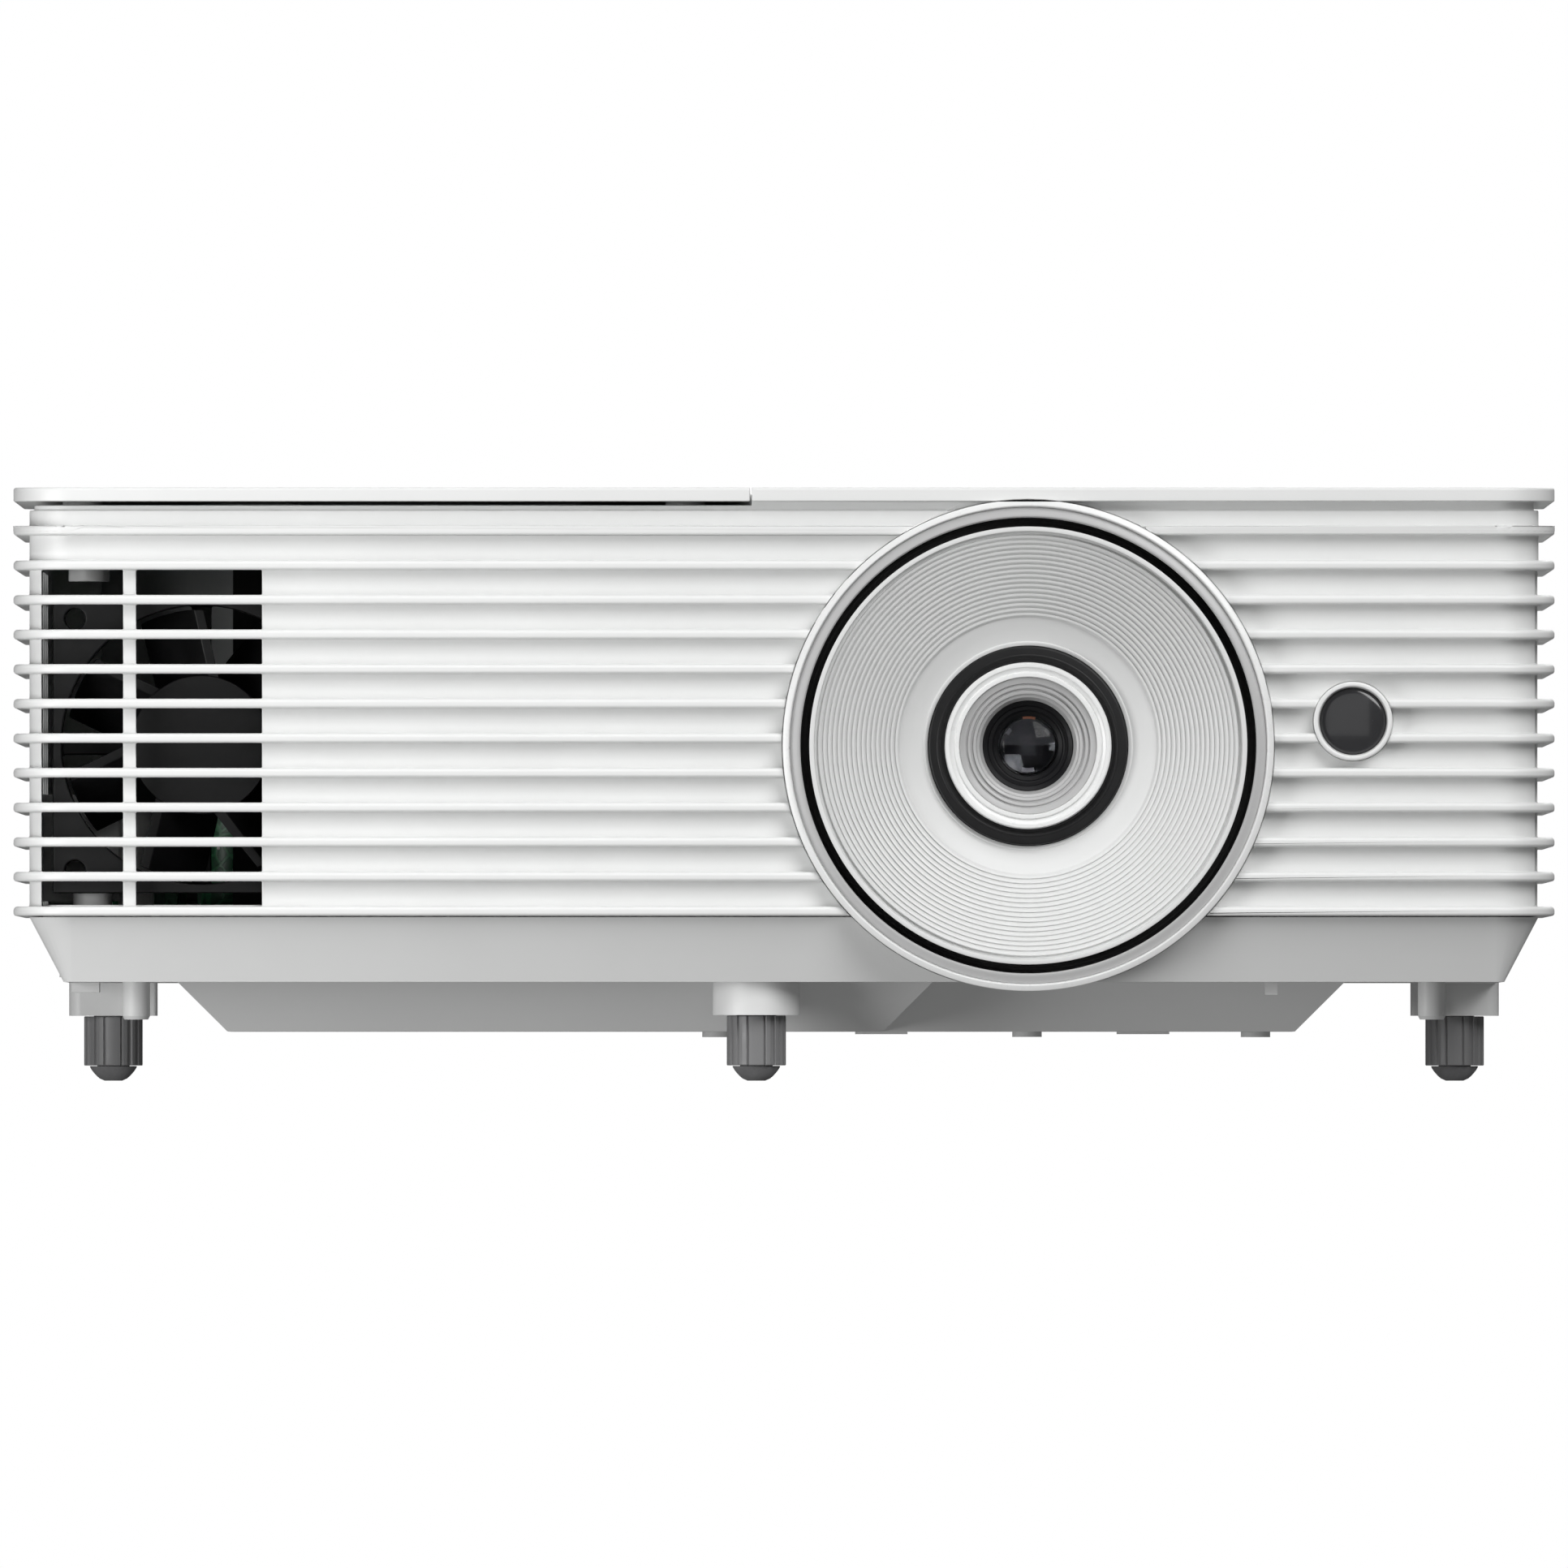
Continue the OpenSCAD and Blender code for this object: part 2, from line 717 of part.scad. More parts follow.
// Prism pair, relay lens and field lens along the light path
module prism() {
    s = 13;
    color([0.7, 0.8, 0.9, 0.5]) union() {
        translate([lens_x, 0, lens_z - s]) linear_extrude(2 * s)
            polygon([[-s, -s], [s - 0.3, -s], [-s, s - 0.3]]);
        translate([lens_x, 0, lens_z - s]) linear_extrude(2 * s)
            polygon([[s, s], [s, -s + 0.3], [-s + 0.3, s]]);
        rod_x([0, lens_z], 11.8, 4, 8);
        rod_x([0, lens_z], 11.8, 20, 24);
    }
}

module dmd_board() {
    color("darkgreen") union() {
        block([lens_x - 24, 22, lens_z - 22], [lens_x + 24, 23.6, lens_z + 22]);
        block([lens_x - 11, 17.6, lens_z - 8], [lens_x + 11, 22.1, lens_z + 8]);
    }
}

module dmd_heatsink() {
    color("lightgray") union() {
        block([lens_x - 22, 23.7, lens_z - 20], [lens_x + 22, 26.7, lens_z + 20]);
        for (i = [0:10]) block([lens_x - 22 + i * 4.25, 26.6, lens_z - 20],
            [lens_x - 20.5 + i * 4.25, 46, lens_z + 20]);
    }
}

module light_tunnel() {
    color("lightsteelblue") difference() {
        block([-30, -4.5, lens_z - 4.5], [-6, 4.5, lens_z + 4.5]);
        block([-31, -2.6, lens_z - 2], [-5, 2.6, lens_z + 2]);
    }
}

wheel_z = 51;

module wheel_motor() {
    color("dimgray") union() {
        rod_x([0, wheel_z], 9, -34.6, -24);
        rod_x([0, wheel_z], 1.5, -40, -34.5);
        block([-26, -9, z_belly + 2.5], [-22, 9, wheel_z + 5]);
    }
}

module colour_wheel() {
    color("mediumpurple") difference() {
        union() {
            rod_x([0, wheel_z], 22, -37.8, -36.8);
            rod_x([0, wheel_z], 7, -39, -35.4);
        }
        rod_x([0, wheel_z], 1.55, -45, -30);
        block([-38, -1, wheel_z + 8], [-36, 1, wheel_z + 9]);
    }
}

// ---- Lamp ----------------------------------------------------------------------------

lamp = [[-112, -36, 30], [-50, 36, 106]];

module lamp_housing() {
    color("lightgray") difference() {
        block(lamp[0], lamp[1]);
        block(lamp[0] + [2, 2, 2], lamp[1] - [2, 2, 2]);
        rod_x([lamp_y, lens_z], 16, -53, -49);
        // air slots front and rear
        for (x = [-104:12:-62], y = [-37, 33]) block([x, y, 44], [x + 6, y + 4, 92]);
    }
}

module lamp_reflector() {
    color("silver") translate([-105, lamp_y, lens_z]) rotate([0, 90, 0]) union() {
        rotate_extrude() polygon([[5, 0], [8, 0], [10, 12], [20, 24], [27, 36], [30, 48],
            [28, 48], [25, 37], [18, 26], [8, 14], [5, 12]]);
        cylinder(r = 4.9, h = 20);
        translate([0, 0, 26]) sphere(r = 5.2);
        translate([0, 0, 20 - eps]) cylinder(r = 2, h = 2);
        translate([0, 0, 30]) cylinder(r = 2, h = 12);
    }
}

module lamp_handle() {
    color("dimgray") union() {
        rod_x([-28, lamp[1][2] + 1.5], 1.4, -100, -62);
        for (x = [-100, -62]) translate([x, -28, lamp[1][2] + 1.5]) rotate([-90, 0, 0])
            cylinder(r = 1.4, h = 22);
        for (x = [-100, -62]) translate([x, -6, lamp[1][2] + 1.5]) sphere(r = 1.4);
        for (x = [-100, -62]) block([x - 2.5, -9, lamp[1][2]], [x + 2.5, -3,
            lamp[1][2] + 3.2]);
    }
}

// ---- Cooling -------------------------------------------------------------------------

fan_at = [-118, 68];
blower_at = [-80, 68];

// Square fan frame with a round throat, its bearing spider at the back
module fan_frame(at, y0, y1) {
    difference() {
        union() {
            difference() {
                block([at[0] - 30, y0, at[1] - 30], [at[0] + 30, y1, at[1] + 30]);
                rod_y(at, 28.2, y0 - 1, y1 + 1);
            }
            for (a = [0, 90]) translate([at[0], y1 - 2, at[1]]) rotate([0, a, 0])
                translate([-28.6, 0, -2]) cube([57.2, 2, 4]);
            rod_y(at, 13, y1 - 2, y1);
            rod_y(at, 2, y0 + 5, y1 - 1);
        }
        for (x = [-25.5, 25.5], z = [-25.5, 25.5])
            rod_y([at[0] + x, at[1] + z], 2.1, y0 - 1, y1 + 1);
    }
}

// Hub with pitched blades
module fan_rotor(at, y0, y1, blades) {
    difference() {
        union() {
            rod_y(at, 14, y0, y1);
            intersection() {
                rod_y(at, 27.4, y0 + 0.5, y1 - 0.5);
                union() for (i = [0:blades - 1])
                    translate([at[0], (y0 + y1) / 2, at[1]]) rotate([0, 360 * i / blades, 0])
                        translate([19, 0, 0]) rotate([38, 0, 0])
                            translate([-8, -12, -0.75]) cube([20, 24, 1.5]);
            }
        }
        rod_y(at, 2.06, y0 + 2, y1 + 1);
    }
}

module exhaust_fan_frame() {
    color([0.15, 0.15, 0.15]) fan_frame(fan_at, -100, -80);
}

module exhaust_fan_rotor() {
    color([0.2, 0.2, 0.2]) fan_rotor(fan_at, -98, -82.5, 7);
}

module blower_case() {
    y0 = -66;
    y1 = -46;
    color([0.15, 0.15, 0.15]) union() {
        difference() {
            union() {
                rod_y(blower_at, 27, y0, y1);
                block([blower_at[0], y0, blower_at[1]], [blower_at[0] + 27, y1,
                    blower_at[1] + 32]);
            }
            rod_y(blower_at, 25.2, y0 + 1.5, y1 - 1.5);
            block([blower_at[0] + 2, y0 + 1.5, blower_at[1]], [blower_at[0] + 25.2,
                y1 - 1.5, blower_at[1] + 33]);
            rod_y(blower_at, 15, y0 - 1, y0 + 2);
        }
        rod_y(blower_at, 1.94, y0 + 6, y1 - 1);
    }
}

module blower_rotor() {
    y0 = -63.5;
    y1 = -48.5;
    n = 24;
    color([0.25, 0.25, 0.25]) union() {
        difference() {
            rod_y(blower_at, 22, y1 - 1.5, y1);
            rod_y(blower_at, 2, y1 - 3, y1 + 1);
        }
        difference() {
            rod_y(blower_at, 8, y0 + 3, y1 - 1.4);
            rod_y(blower_at, 2, y0, y1 + 1);
        }
        for (i = [0:n - 1]) translate([blower_at[0], y0, blower_at[1]])
            rotate([0, 360 * i / n, 0]) translate([18, 0, -0.4])
                cube([3.6, y1 - y0 - 1.4, 0.8]);
        difference() {
            rod_y(blower_at, 22, y0, y0 + 1);
            rod_y(blower_at, 18.5, y0 - 1, y0 + 2);
        }
    }
}

// ---- Electronics ---------------------------------------------------------------------

module power_board() {
    color("darkgreen") union() {
        block([-124, 44, 28], [-20, 100, 29.6]);
        for (x = [-112, -94]) post([x, 60], 8, 29.5, 58);
        block([-80, 50, 29.5], [-52, 76, 46]);
        for (x = [-46, -34]) block([x, 52, 29.5], [x + 3, 92, 46]);
        post([-66, 88], 6, 29.5, 45);
        post([-84, 90], 5, 29.5, 44);
    }
}

module ballast_board() {
    color("darkolivegreen") union() {
        block([-145.8, -66, 27], [-118, 40, 28.6]);
        block([-143, -50, 28.5], [-123, -28, 48]);
        for (y = [-14, 2, 18]) post([-132, y], 6, 28.5, 50);
        block([-144, 28, 28.5], [-122, 38, 40]);
    }
}

module main_board() {
    color("darkgreen") difference() {
        union() {
            block([-78, 56, board_z - 1.6], [122, 102.8, board_z]);
            block([20, 62, board_z - 0.1], [50, 84, board_z + 4]);
            block([66, 62, board_z - 0.1], [80, 76, board_z + 2]);
            block([-40, 62, board_z - 0.1], [-22, 80, board_z + 2]);
            for (x = [-60:24:108]) post([x, 60], 2.5, board_z - 0.1, board_z + 6);
        }
        for (x = [-12, 116]) post([x, 61], 1.7, 40, 70);
    }
}

module speaker() {
    at = [28, 68];
    color([0.2, 0.2, 0.2]) union() {
        difference() {
            union() {
                block([140, at[0] - 24, at[1] - 24], [143, at[0] + 24, at[1] + 24]);
                block([140, at[0] - 28, at[1] - 8], [143, at[0] + 28, at[1] + 8]);
            }
            rod_x(at, 20, 139, 144);
        }
        translate([143, at[0], at[1]]) rotate([0, -90, 0]) rotate_extrude()
            polygon([[7, 12], [8, 10.5], [20.5, 0.2], [22.5, 0.2], [22.5, 2.9], [20.9, 2.9],
                [9, 12.6], [9, 14], [7, 14]]);
        rod_x(at, 18, 119, 130);
        rod_x(at, 7.2, 129, 134);
    }
}

// Power inlet with three flat pins at the bottom of its cavity
module ac_inlet() {
    x = -118;
    color([0.1, 0.1, 0.1]) union() {
        difference() {
            union() {
                block([x - 15.5, panel_y, port_z - 12], [x + 15.5, panel_y + 2, port_z + 12]);
                block([x - 13.8, 82, port_z - 9.8], [x + 13.8, panel_y + eps, port_z + 9.8]);
            }
            block([x - 12.25, 86, port_z - 8.15], [x + 12.25, 112, port_z + 8.15]);
        }
        for (d = [-7, 0, 7]) block([x + d - 1, 85.5, port_z - 2 + (d == 0 ? 3 : -1)],
            [x + d + 1, 101, port_z + 2 + (d == 0 ? 3 : -1)]);
    }
}

// Shell of a socket in the rear panel with a contact tongue inside
module socket(x, w, h, t, depth, tongue_w, tongue_t, reach) {
    y1 = panel_y + reach;
    z = on_board(h);
    difference() {
        block([x - w / 2, y1 - depth, z - h / 2], [x + w / 2, y1, z + h / 2]);
        block([x - w / 2 + t, y1 - depth + 1, z - h / 2 + t],
            [x + w / 2 - t, y1 + 1, z + h / 2 - t]);
    }
    block([x - tongue_w / 2, y1 - depth + 0.5, z - tongue_t / 2],
        [x + tongue_w / 2, y1 - 2, z + tongue_t / 2]);
}

module hdmi_ports() {
    color("silver") for (x = hdmi_x) union() socket(x, 15, 5.6, 0.4, 12, 11.6, 1, 0.6);
}

module usb_port() {
    color("silver") union() socket(usb_x, 13.2, 6, 0.4, 14, 11, 1.6, 0.6);
}

// D-shaped outline, narrower at the bottom
module d_outline(w, h, cut) {
    polygon([[-w / 2 + cut, -h / 2], [w / 2 - cut, -h / 2], [w / 2, h / 2], [-w / 2, h / 2]]);
}

module dsub_ports() {
    color("steelblue") for (x = dsub_x) difference() {
        union() {
            translate([x, panel_y + 4.8, port_z]) rotate([90, 0, 0]) linear_extrude(16)
                d_outline(16.8, 8.2, 1.3);
            block([x - 15.4, panel_y - panel_t - 1, board_z + 0.1],
                [x + 15.4, panel_y - panel_t, port_z + 5.4]);
            for (s = [-12.5, 12.5]) {
                rod_y([x + s, port_z], 1.5, panel_y - panel_t - 0.1, panel_y + 1);
                rod_y([x + s, port_z], 2.7, panel_y, panel_y + 4.4, $fn = 6);
            }
        }
        for (s = [-12.5, 12.5]) rod_y([x + s, port_z], 1.1, panel_y - 1, panel_y + 6);
        for (row = [-1.9, 0, 1.9], c = [-2:2])
            rod_y([x + c * 2.3 + (row == 0 ? 0.6 : 0), port_z + row], 0.45, panel_y - 6,
                panel_y + 6);
    }
}

module av_jacks() {
    color([0.2, 0.2, 0.2]) union() {
        for (x = jack_x) difference() {
            union() {
                rod_y([x, port_z], 3, panel_y - 3, panel_y + 0.8);
                block([x - 4, panel_y - 15, board_z + 0.1], [x + 4, panel_y - 2.2, port_z + 4]);
            }
            rod_y([x, port_z], 1.8, panel_y - 13.2, panel_y + 1);
        }
        difference() {
            union() {
                rod_y([video_x, port_z], 4.1, panel_y - 10, panel_y + 5);
                block([video_x - 5.4, panel_y - 15, board_z + 0.1],
                    [video_x + 5.4, panel_y - 2.2, port_z + 6]);
            }
            rod_y([video_x, port_z], 1.6, panel_y - 8, panel_y + 6);
        }
    }
}

// ---- Fasteners -----------------------------------------------------------------------

// Screws that hold the case halves together, pushed up from below
module case_screws() {
    color("silver") for (b = case_bosses) translate([0, 0, 46]) mirror([0, 0, 1])
        screw_down(b, 46 - 23, screw_head_r, 24);
}

module ceiling_inserts() {
    color("goldenrod") for (c = ceiling_at) difference() {
        post(c, insert_r + 0.6, z_belly - 1.1, 18.5);
        post(c, insert_r, z_belly - 2, 18);
    }
}

// ---- Feet ----------------------------------------------------------------------------

// One-piece screw and fluted grip
module foot_screw(at) {
    color("dimgray") union() {
        post(at, screw_r, z_collar - 0.5, z_collar + 20);
        difference() {
            post(at, foot_r, 3.1, z_collar - foot_drop);
            for (q = [0:90:270], g = grip_gaps)
                post(at + (foot_r + 0.35) * [cos(q + g), sin(q + g)], 0.65, 2, z_collar + 1);
            post(at, 3.4, 3, 6);
        }
    }
}

// Domed tip that turns freely in the grip and stays still on the table
module foot_tip(at) {
    color([0.25, 0.25, 0.25]) translate([at[0], at[1], 0]) union() {
        rotate_extrude() polygon([[0, 0], [1.8, 0], [2.8, 0.45], [3.4, 0.95], [3.9, 1.5],
            [4.4, 2.1], [4.8, 2.7], [4.9, 3], [0, 3]]);
        cylinder(r = 3.3, h = 5.8);
    }
}

module front_foot_screw() { foot_screw(feet[0]); }
module front_foot_tip() { foot_tip(feet[0]); }
module left_foot_screw() { foot_screw(feet[1]); }
module left_foot_tip() { foot_tip(feet[1]); }
module right_foot_screw() { foot_screw(feet[2]); }
module right_foot_tip() { foot_tip(feet[2]); }
module power_key() { key("power", "lightgray"); }
module menu_key() { key("menu", "lightgray"); }
module source_key() { key("source", "lightgray"); }
module up_key() { key("up", "lightgray"); }
module down_key() { key("down", "lightgray"); }
module left_key() { key("left", "lightgray"); }
module right_key() { key("right", "lightgray"); }
module enter_key() { key("enter", "gray"); }

upper_case();
lower_case();
rear_panel();
lens_bezel();
bezel_gasket();
lens_dish();
ir_bezel();
ir_window();
ir_receiver_board();
lamp_cover();
lamp_cover_screw();
keypad_panel();
keypad_board();
status_lights();
power_key();
menu_key();
source_key();
up_key();
down_key();
left_key();
right_key();
enter_key();
focus_ring();
front_lens_cell();
front_lens();
zoom_ring();
zoom_lens_cell();
lens_barrel();
rear_lens_group();
engine_housing();
prism();
dmd_board();
dmd_heatsink();
light_tunnel();
wheel_motor();
colour_wheel();
lamp_housing();
lamp_reflector();
lamp_handle();
exhaust_fan_frame();
exhaust_fan_rotor();
blower_case();
blower_rotor();
power_board();
ballast_board();
main_board();
speaker();
ac_inlet();
hdmi_ports();
dsub_ports();
usb_port();
av_jacks();
case_screws();
ceiling_inserts();
front_foot_screw();
front_foot_tip();
left_foot_screw();
left_foot_tip();
right_foot_screw();
right_foot_tip();
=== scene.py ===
import json
import math

import bmesh
import bpy
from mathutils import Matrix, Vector

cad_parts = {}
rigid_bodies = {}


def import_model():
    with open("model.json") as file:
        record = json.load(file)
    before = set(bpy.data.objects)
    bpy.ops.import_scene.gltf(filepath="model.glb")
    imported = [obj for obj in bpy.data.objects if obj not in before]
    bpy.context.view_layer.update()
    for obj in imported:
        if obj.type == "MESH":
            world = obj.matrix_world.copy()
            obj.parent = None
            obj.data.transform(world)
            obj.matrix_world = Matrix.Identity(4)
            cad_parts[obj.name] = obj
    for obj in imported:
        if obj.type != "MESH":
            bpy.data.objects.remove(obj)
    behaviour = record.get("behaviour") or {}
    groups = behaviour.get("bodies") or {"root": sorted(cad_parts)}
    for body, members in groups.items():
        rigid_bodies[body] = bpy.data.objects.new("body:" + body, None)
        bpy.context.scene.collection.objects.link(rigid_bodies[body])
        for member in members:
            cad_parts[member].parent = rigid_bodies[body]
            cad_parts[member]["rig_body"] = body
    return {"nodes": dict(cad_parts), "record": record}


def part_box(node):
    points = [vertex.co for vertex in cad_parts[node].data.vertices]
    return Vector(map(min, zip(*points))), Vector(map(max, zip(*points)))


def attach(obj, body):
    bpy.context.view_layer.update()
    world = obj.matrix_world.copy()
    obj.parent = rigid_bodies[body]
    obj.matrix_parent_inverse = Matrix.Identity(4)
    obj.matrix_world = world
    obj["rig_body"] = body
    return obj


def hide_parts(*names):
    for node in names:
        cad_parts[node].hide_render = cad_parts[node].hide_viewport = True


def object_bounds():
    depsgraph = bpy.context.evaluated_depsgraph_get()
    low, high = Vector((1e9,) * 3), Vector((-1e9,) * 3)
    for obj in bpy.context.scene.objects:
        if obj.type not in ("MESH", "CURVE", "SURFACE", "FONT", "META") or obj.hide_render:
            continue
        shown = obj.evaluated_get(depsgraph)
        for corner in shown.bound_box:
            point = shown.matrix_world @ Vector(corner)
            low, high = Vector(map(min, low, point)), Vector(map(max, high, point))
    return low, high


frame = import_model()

# Home projector. Lengths are in metres in the CAD frame: the lens looks along -Y, +Z is up.
cad_low, cad_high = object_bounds()
MM = 0.001
scene = bpy.context.scene
nodes = frame["nodes"]
slots = {part["node"]: part["material_slot"] for part in frame["record"]["subparts"]}


def middle(node):
    """Centre of a CAD node's box."""
    low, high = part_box(node)
    return (low + high) / 2


def half_width(node):
    """Half of a CAD node's extent along X, in mm."""
    low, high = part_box(node)
    return (high.x - low.x) / 2 / MM


def front_and_back(node):
    """Where a CAD node starts and ends along Y, in mm."""
    low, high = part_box(node)
    return low.y / MM, high.y / MM


# ---- Materials -----------------------------------------------------------------------

def new_material(name):
    """Material with its node tree, its Principled shader and its object coordinates."""
    mat = bpy.data.materials.new(name)
    mat.use_nodes = True
    tree = mat.node_tree
    shader = tree.nodes["Principled BSDF"]
    coords = tree.nodes.new("ShaderNodeTexCoord")
    return mat, tree, shader, coords.outputs["Object"]


def noise(tree, coords, scale, detail=3.0, rough=0.55, stretch=(1, 1, 1)):
    """Noise factor at so many waves per metre, optionally stretched along an axis."""
    mapping = tree.nodes.new("ShaderNodeMapping")
    mapping.inputs["Scale"].default_value = stretch
    tree.links.new(coords, mapping.inputs["Vector"])
    texture = tree.nodes.new("ShaderNodeTexNoise")
    texture.inputs["Scale"].default_value = scale
    texture.inputs["Detail"].default_value = detail
    texture.inputs["Roughness"].default_value = rough
    tree.links.new(mapping.outputs["Vector"], texture.inputs["Vector"])
    return texture.outputs["Fac"]


def spread(tree, factor, low, high, start=0.3, end=0.7):
    """Maps a factor's middle range onto low..high."""
    remap = tree.nodes.new("ShaderNodeMapRange")
    remap.inputs["From Min"].default_value = start
    remap.inputs["From Max"].default_value = end
    remap.inputs["To Min"].default_value = low
    remap.inputs["To Max"].default_value = high
    tree.links.new(factor, remap.inputs["Value"])
    return remap.outputs["Result"]


def blend_colours(tree, factor, first, second):
    """Mix of two colours, or of a colour and a socket, by a factor."""
    colour_a, colour_b, colour_out = 6, 7, 2
    mix = tree.nodes.new("ShaderNodeMix")
    mix.data_type = "RGBA"
    tree.links.new(factor, mix.inputs["Factor"])
    for index, value in ((colour_a, first), (colour_b, second)):
        if isinstance(value, tuple):
            mix.inputs[index].default_value = (*value, 1)
        else:
            tree.links.new(value, mix.inputs[index])
    return mix.outputs[colour_out]


def bump(tree, shader, height, depth, strength=1.0, after=None):
    """Adds a bump of the given depth in metres to the shader's normal."""
    node = tree.nodes.new("ShaderNodeBump")
    node.inputs["Strength"].default_value = strength
    node.inputs["Distance"].default_value = depth
    tree.links.new(height, node.inputs["Height"])
    if after is not None:
        tree.links.new(after, node.inputs["Normal"])
    tree.links.new(node.outputs["Normal"], shader.inputs["Normal"])
    return node.outputs["Normal"]


def shade(colour, factor):
    """Colour made lighter or darker."""
    return tuple(min(1.0, c * factor) for c in colour)


def plastic(name, colour, rough, grain=0.012, grain_scale=2600, mottle=0.03, coat=0.0,
            specular=0.5):
    """Moulded plastic: spark-eroded grain, slight flow mottling and uneven gloss."""
    mat, tree, shader, coords = new_material(name)
    flow = noise(tree, coords, 45, detail=4)
    tree.links.new(blend_colours(tree, flow, shade(colour, 1 - mottle),
                                 shade(colour, 1 + mottle)), shader.inputs["Base Color"])
    gloss = noise(tree, coords, 380, detail=2)
    tree.links.new(spread(tree, gloss, rough - 0.05, rough + 0.06),
                   shader.inputs["Roughness"])
    cells = noise(tree, coords, grain_scale, detail=2, rough=0.6)
    waves = noise(tree, coords, 70, detail=2)
    first = bump(tree, shader, waves, 0.05 * MM, 0.25)
    bump(tree, shader, cells, grain * MM, 1.0, after=first)
    shader.inputs["Coat Weight"].default_value = coat
    shader.inputs["Coat Roughness"].default_value = 0.12
    shader.inputs["Specular IOR Level"].default_value = specular
    return mat


def rubber(name, colour):
    """Soft black rubber with a dusty bloom."""
    mat, tree, shader, coords = new_material(name)
    bloom = noise(tree, coords, 260, detail=6, rough=0.7)
    tree.links.new(blend_colours(tree, bloom, shade(colour, 0.7), shade(colour, 1.7)),
                   shader.inputs["Base Color"])
    tree.links.new(spread(tree, bloom, 0.62, 0.85), shader.inputs["Roughness"])
    bump(tree, shader, noise(tree, coords, 1800, detail=3), 0.02 * MM)
    shader.inputs["Specular IOR Level"].default_value = 0.25
    return mat


def metal(name, colour, rough, stretch=(1, 1, 1), scale=900, depth=0.01, spots=0.05):
    """Bare metal: brushed where stretched, cast where not, with light staining."""
    mat, tree, shader, coords = new_material(name)
    stain = noise(tree, coords, 60, detail=5, rough=0.65)
    tree.links.new(blend_colours(tree, stain, shade(colour, 1 - spots),
                                 shade(colour, 1 + spots)), shader.inputs["Base Color"])
    lines = noise(tree, coords, scale, detail=4, rough=0.65, stretch=stretch)
    tree.links.new(spread(tree, lines, rough - 0.08, rough + 0.1),
                   shader.inputs["Roughness"])
    bump(tree, shader, lines, depth * MM)
    shader.inputs["Metallic"].default_value = 1.0
    return mat


def glass(name, colour, film=0.0, rough=0.0, ior=1.52):
    """Optical glass with a faint smear and, where film is set, a coating of that many nm."""
    mat, tree, shader, coords = new_material(name)
    smear = noise(tree, coords, 300, detail=5, rough=0.7)
    tree.links.new(blend_colours(tree, smear, shade(colour, 0.96), colour),
                   shader.inputs["Base Color"])
    tree.links.new(spread(tree, smear, rough, rough + 0.012), shader.inputs["Roughness"])
    bump(tree, shader, smear, 0.0006 * MM)
    shader.inputs["Transmission Weight"].default_value = 1.0
    shader.inputs["IOR"].default_value = ior
    shader.inputs["Thin Film Thickness"].default_value = film
    shader.inputs["Thin Film IOR"].default_value = 1.38
    return mat


def dark_gloss(name, colour, rough):
    """Black glossy plastic or blackened glass, with fine dust and faint swirls."""
    mat, tree, shader, coords = new_material(name)
    dust = noise(tree, coords, 2400, detail=2, rough=0.5)
    flecks = spread(tree, dust, 0.0, 1.0, start=0.72, end=0.8)
    tree.links.new(blend_colours(tree, flecks, colour, shade(colour, 2.5)),
                   shader.inputs["Base Color"])
    swirls = noise(tree, coords, 220, detail=4)
    tree.links.new(spread(tree, swirls, rough, rough + 0.05), shader.inputs["Roughness"])
    bump(tree, shader, swirls, 0.003 * MM)
    shader.inputs["Coat Weight"].default_value = 0.3
    shader.inputs["Coat Roughness"].default_value = 0.05
    return mat


def circuit_board(name):
    """Green solder mask with copper tracks under it, tinned pads and a woven relief."""
    mat, tree, shader, coords = new_material(name)
    tracks = tree.nodes.new("ShaderNodeTexVoronoi")
    tracks.distance = "MANHATTAN"
    tracks.feature = "DISTANCE_TO_EDGE"
    tracks.inputs["Scale"].default_value = 260
    tree.links.new(coords, tracks.inputs["Vector"])
    on_track = spread(tree, tracks.outputs["Distance"], 1.0, 0.0, start=0.05, end=0.08)
    mask = blend_colours(tree, on_track, (0.012, 0.085, 0.035), (0.03, 0.17, 0.07))
    pads = tree.nodes.new("ShaderNodeTexVoronoi")
    pads.inputs["Scale"].default_value = 330
    tree.links.new(coords, pads.inputs["Vector"])
    on_pad = spread(tree, pads.outputs["Distance"], 1.0, 0.0, start=0.16, end=0.2)
    tree.links.new(blend_colours(tree, on_pad, mask, (0.62, 0.6, 0.55)),
                   shader.inputs["Base Color"])
    tree.links.new(spread(tree, on_pad, 0.35, 0.22, start=0, end=1),
                   shader.inputs["Roughness"])
    bump(tree, shader, on_track, 0.03 * MM)
    return mat


